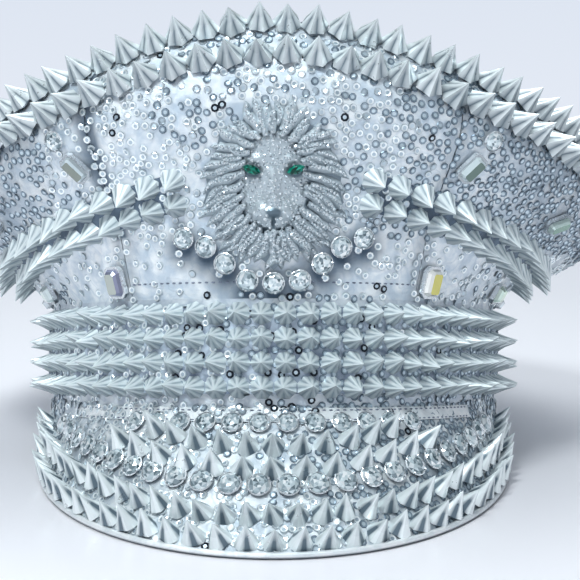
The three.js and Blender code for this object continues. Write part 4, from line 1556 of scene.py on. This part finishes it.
def ring_sequin():
    """One ring of unit radius, with the cloth that shows in its hole."""
    shape = ringed_shape(SEQUIN_SIDES, SEQUIN_PROFILE, False)
    just_past_brim, past_hole = (ring["width"] * 1.01 for ring in SEQUIN_PROFILE[1:])
    part = shape.faces.layers.float.new("part")
    for face in shape.faces:
        is_brim = any(vertex.co.xy.length > just_past_brim for vertex in face.verts)
        face[part] = BRIM if is_brim else FOIL
    inner = [edge for edge in shape.edges if all(vertex.co.xy.length < past_hole for vertex in edge.verts)]
    for face in bmesh.ops.contextual_create(shape, geom=inner)["faces"]:
        face[part] = HOLE
    face_up(shape)
    return shape


def sequin_values(points, random, lean):
    """How shaded each ring is, in patches and leaning to one side of the hat, and which are black."""
    places = [to_hat @ Vector(point) for point in points]
    patches = np.array([noise.noise(Vector(point) * PATCHES_PER_METRE) for point in points])
    across = np.array([place.x for place in places])
    heights = np.array([place.z for place in places])
    leans = np.clip(across / SHADED_REACH, -1, 1)
    leans[np.abs(across) > FAR_SIDE] = 1
    leans[(heights > 0) & (heights < STAND_TOP)] = STAND_LEAN
    painted_ring_shades = 0.5 + PATCHINESS * patches + random.uniform(-0.5, 0.5, len(points)) + lean * leans
    shares = np.full(len(points), BLACK_SHARE)
    for k, place in enumerate(places):
        for patch in DARK_PATCHES if lean else []:
            is_beside = abs(place.x / MM - patch["x"]) < patch["half_width"]
            if is_beside and abs(place.z / MM - patch["up"]) < patch["half_height"] and place.y < 0:
                shares[k] = patch["share"]
    return {
        "painted_ring_shade": np.clip(RING_SHADE_CONTRAST * (painted_ring_shades - 0.5) + 0.5, 0, 1),
        "black": random.random(len(points)) < shares,
    }


sequin_material = sequin_silver()
sequin_random = np.random.default_rng(31)
obstacles = [(foot, CLEAR_OF_STUDS) for foot in spike_feet]
obstacles += [(point, CLEAR_OF_STONES) for point in visor_stone_points]
for seat in drop_seats + crystal_seats:
    obstacles.append((seat["middle"], max(seat["half_sizes"]) + CLEAR_OF_SEATS))
cloth_meshes = {"visor": visor_mesh, "visor_strip": strip, "head_band": band_mesh, **crown_meshes}
cloth_meshes["band_tape"] = tape_meshes["band_spikes"]
for cloth in SEQUIN_CLOTHS:
    name = cloth["name"]
    points, outs = strewn(cloth_meshes[name], cloth["inside"], cloth["spacing"] * MM, sequin_random)
    is_clear = clear_of(points, obstacles)
    is_clear &= [relief_tree.find_nearest(Vector(point))[3] > CLEAR_OF_BROOCH for point in points]
    heights = np.array([(to_hat @ Vector(point)).z for point in points])
    on_stand = (heights < STAND_TOP) & (heights > 0)
    is_clear &= ~on_stand | (sequin_random.random(len(points)) < STAND_SHARE)
    is_clear &= (points[:, 0] > 0) | (sequin_random.random(len(points)) < THIN_SIDE_SHARE)
    is_clear &= points[:, 2] > FLOOR_GAP
    if name == "crown_top":
        is_clear &= outs @ np.array(hat_up) > LID_FACING
    if name == "head_band":
        is_clear &= heights < BAND_MARGIN
    if name == "visor_strip":
        is_clear &= points[:, 0] < PLAIN_STRIP
    points, outs = points[is_clear], outs[is_clear]
    widths = SEQUIN_RADIUS * sequin_random.uniform(*SEQUIN_SIZES, len(points))
    stands = standing_places(points + outs * SEQUIN_LIFT, outs, widths, widths, sequin_random, SEQUIN_TILT)
    values = sequin_values(points, sequin_random, cloth["lean"])
    rings = joined_copies(name + "_sequins", ring_sequin(), stands, values)
    add_piece(name + "_sequins", rings, sequin_material)

# Floor, light and camera: a pale table under soft lamps, seen from the photograph's place.
# The lens and the sideways shift give the photograph's framing.
PICTURE_SIDE = 580
FOCAL_PIXELS = 1270
SHIFT_PIXELS = 16.4
CAMERA_PLACE = Vector((0, -0.5083, 0.1256))
CAMERA_AIM = Vector((0, -0.0124, 0.0621))
FLOOR_HALF_SIZE = 4
FAR_GLOW = (0.42, 0.45, 0.50)

camera_data = bpy.data.cameras.new("camera")
camera_data.sensor_width = 36
camera_data.lens = camera_data.sensor_width * FOCAL_PIXELS / PICTURE_SIDE
camera_data.shift_x = SHIFT_PIXELS / PICTURE_SIDE
camera_data.clip_start = 0.01
camera = placed("camera", camera_data)
camera.location = CAMERA_PLACE
camera.rotation_euler = (CAMERA_AIM - CAMERA_PLACE).to_track_quat("-Z", "Y").to_euler()
bpy.context.scene.camera = camera

floor_shape = bmesh.new()
bmesh.ops.create_grid(floor_shape, x_segments=1, y_segments=1, size=FLOOR_HALF_SIZE)
floor_mesh = mesh_from(floor_shape, "floor")
placed("floor", floor_mesh)
floor_material, floor_tree, floor_shader = new_material("pale table")
floor_place = add_node(floor_tree, "TexCoord").outputs["Object"]
floor_distance = add_node(floor_tree, "VectorMath", {0: floor_place}, operation="LENGTH").outputs["Value"]
floor_glow = mixed(floor_tree, ranged(floor_tree, floor_distance, 0.5, 2.5), (0, 0, 0), FAR_GLOW)
floor_look = {"Base Color": (0.99, 0.95, 0.98, 1), "Roughness": 0.3, "Emission Strength": 1}
fill(floor_tree, floor_shader, {"Emission Color": floor_glow, **floor_look})
floor_mesh.materials.append(floor_material)

LAMP_COLOUR = (0.91, 1.0, 1.03)
LAMP_AIM = Vector((0, 0, 0.07))
LAMPS = [
    {"name": "key", "place": (-0.35, -0.75, 1.0), "size": 0.3, "watts": 8.5},
    {"name": "fill", "place": (0.8, -0.6, 0.45), "size": 0.5, "watts": 0.3},
    {"name": "top", "place": (0.0, 0.25, 0.95), "size": 0.8, "watts": 4.5},
]
for lamp in LAMPS:
    light = bpy.data.lights.new(lamp["name"], "AREA")
    light.size = lamp["size"]
    light.energy = lamp["watts"]
    light.color = LAMP_COLOUR
    holder = placed(lamp["name"], light)
    holder.location = lamp["place"]
    holder.rotation_euler = (LAMP_AIM - Vector(lamp["place"])).to_track_quat("-Z", "Y").to_euler()

SIDE_DIMMING = 0.75
SKY = [  # colour of the room by height, from level to straight up
    {"at": 0.0, "colour": (0.78, 0.83, 0.92)},
    {"at": 0.12, "colour": (0.72, 0.78, 0.88)},
    {"at": 0.22, "colour": (0.18, 0.22, 0.26)},
    {"at": 0.5, "colour": (0.22, 0.26, 0.30)},
    {"at": 0.72, "colour": (0.54, 0.61, 0.67)},
    {"at": 1.0, "colour": (0.64, 0.69, 0.73)},
]
world = bpy.data.worlds.new("studio")
world.use_nodes = True
room = world.node_tree
direction = add_node(room, "TexCoord").outputs["Generated"]
ways = add_node(room, "SeparateXYZ", {"Vector": direction}).outputs
sky = ramped(room, ways["Z"], SKY)
sideways = ranged(room, maths(room, "ABSOLUTE", ways["X"]), 0.3, 0.9, 0.0, SIDE_DIMMING)
above = ranged(room, ways["Z"], 0.1, 0.25)
dimmed_sky = mixed(room, maths(room, "MULTIPLY", sideways, above), sky, (0, 0, 0))
fill(room, room.nodes["Background"], {"Color": dimmed_sky, "Strength": 1})
bpy.context.scene.world = world
bpy.context.scene.view_settings.view_transform = "Standard"
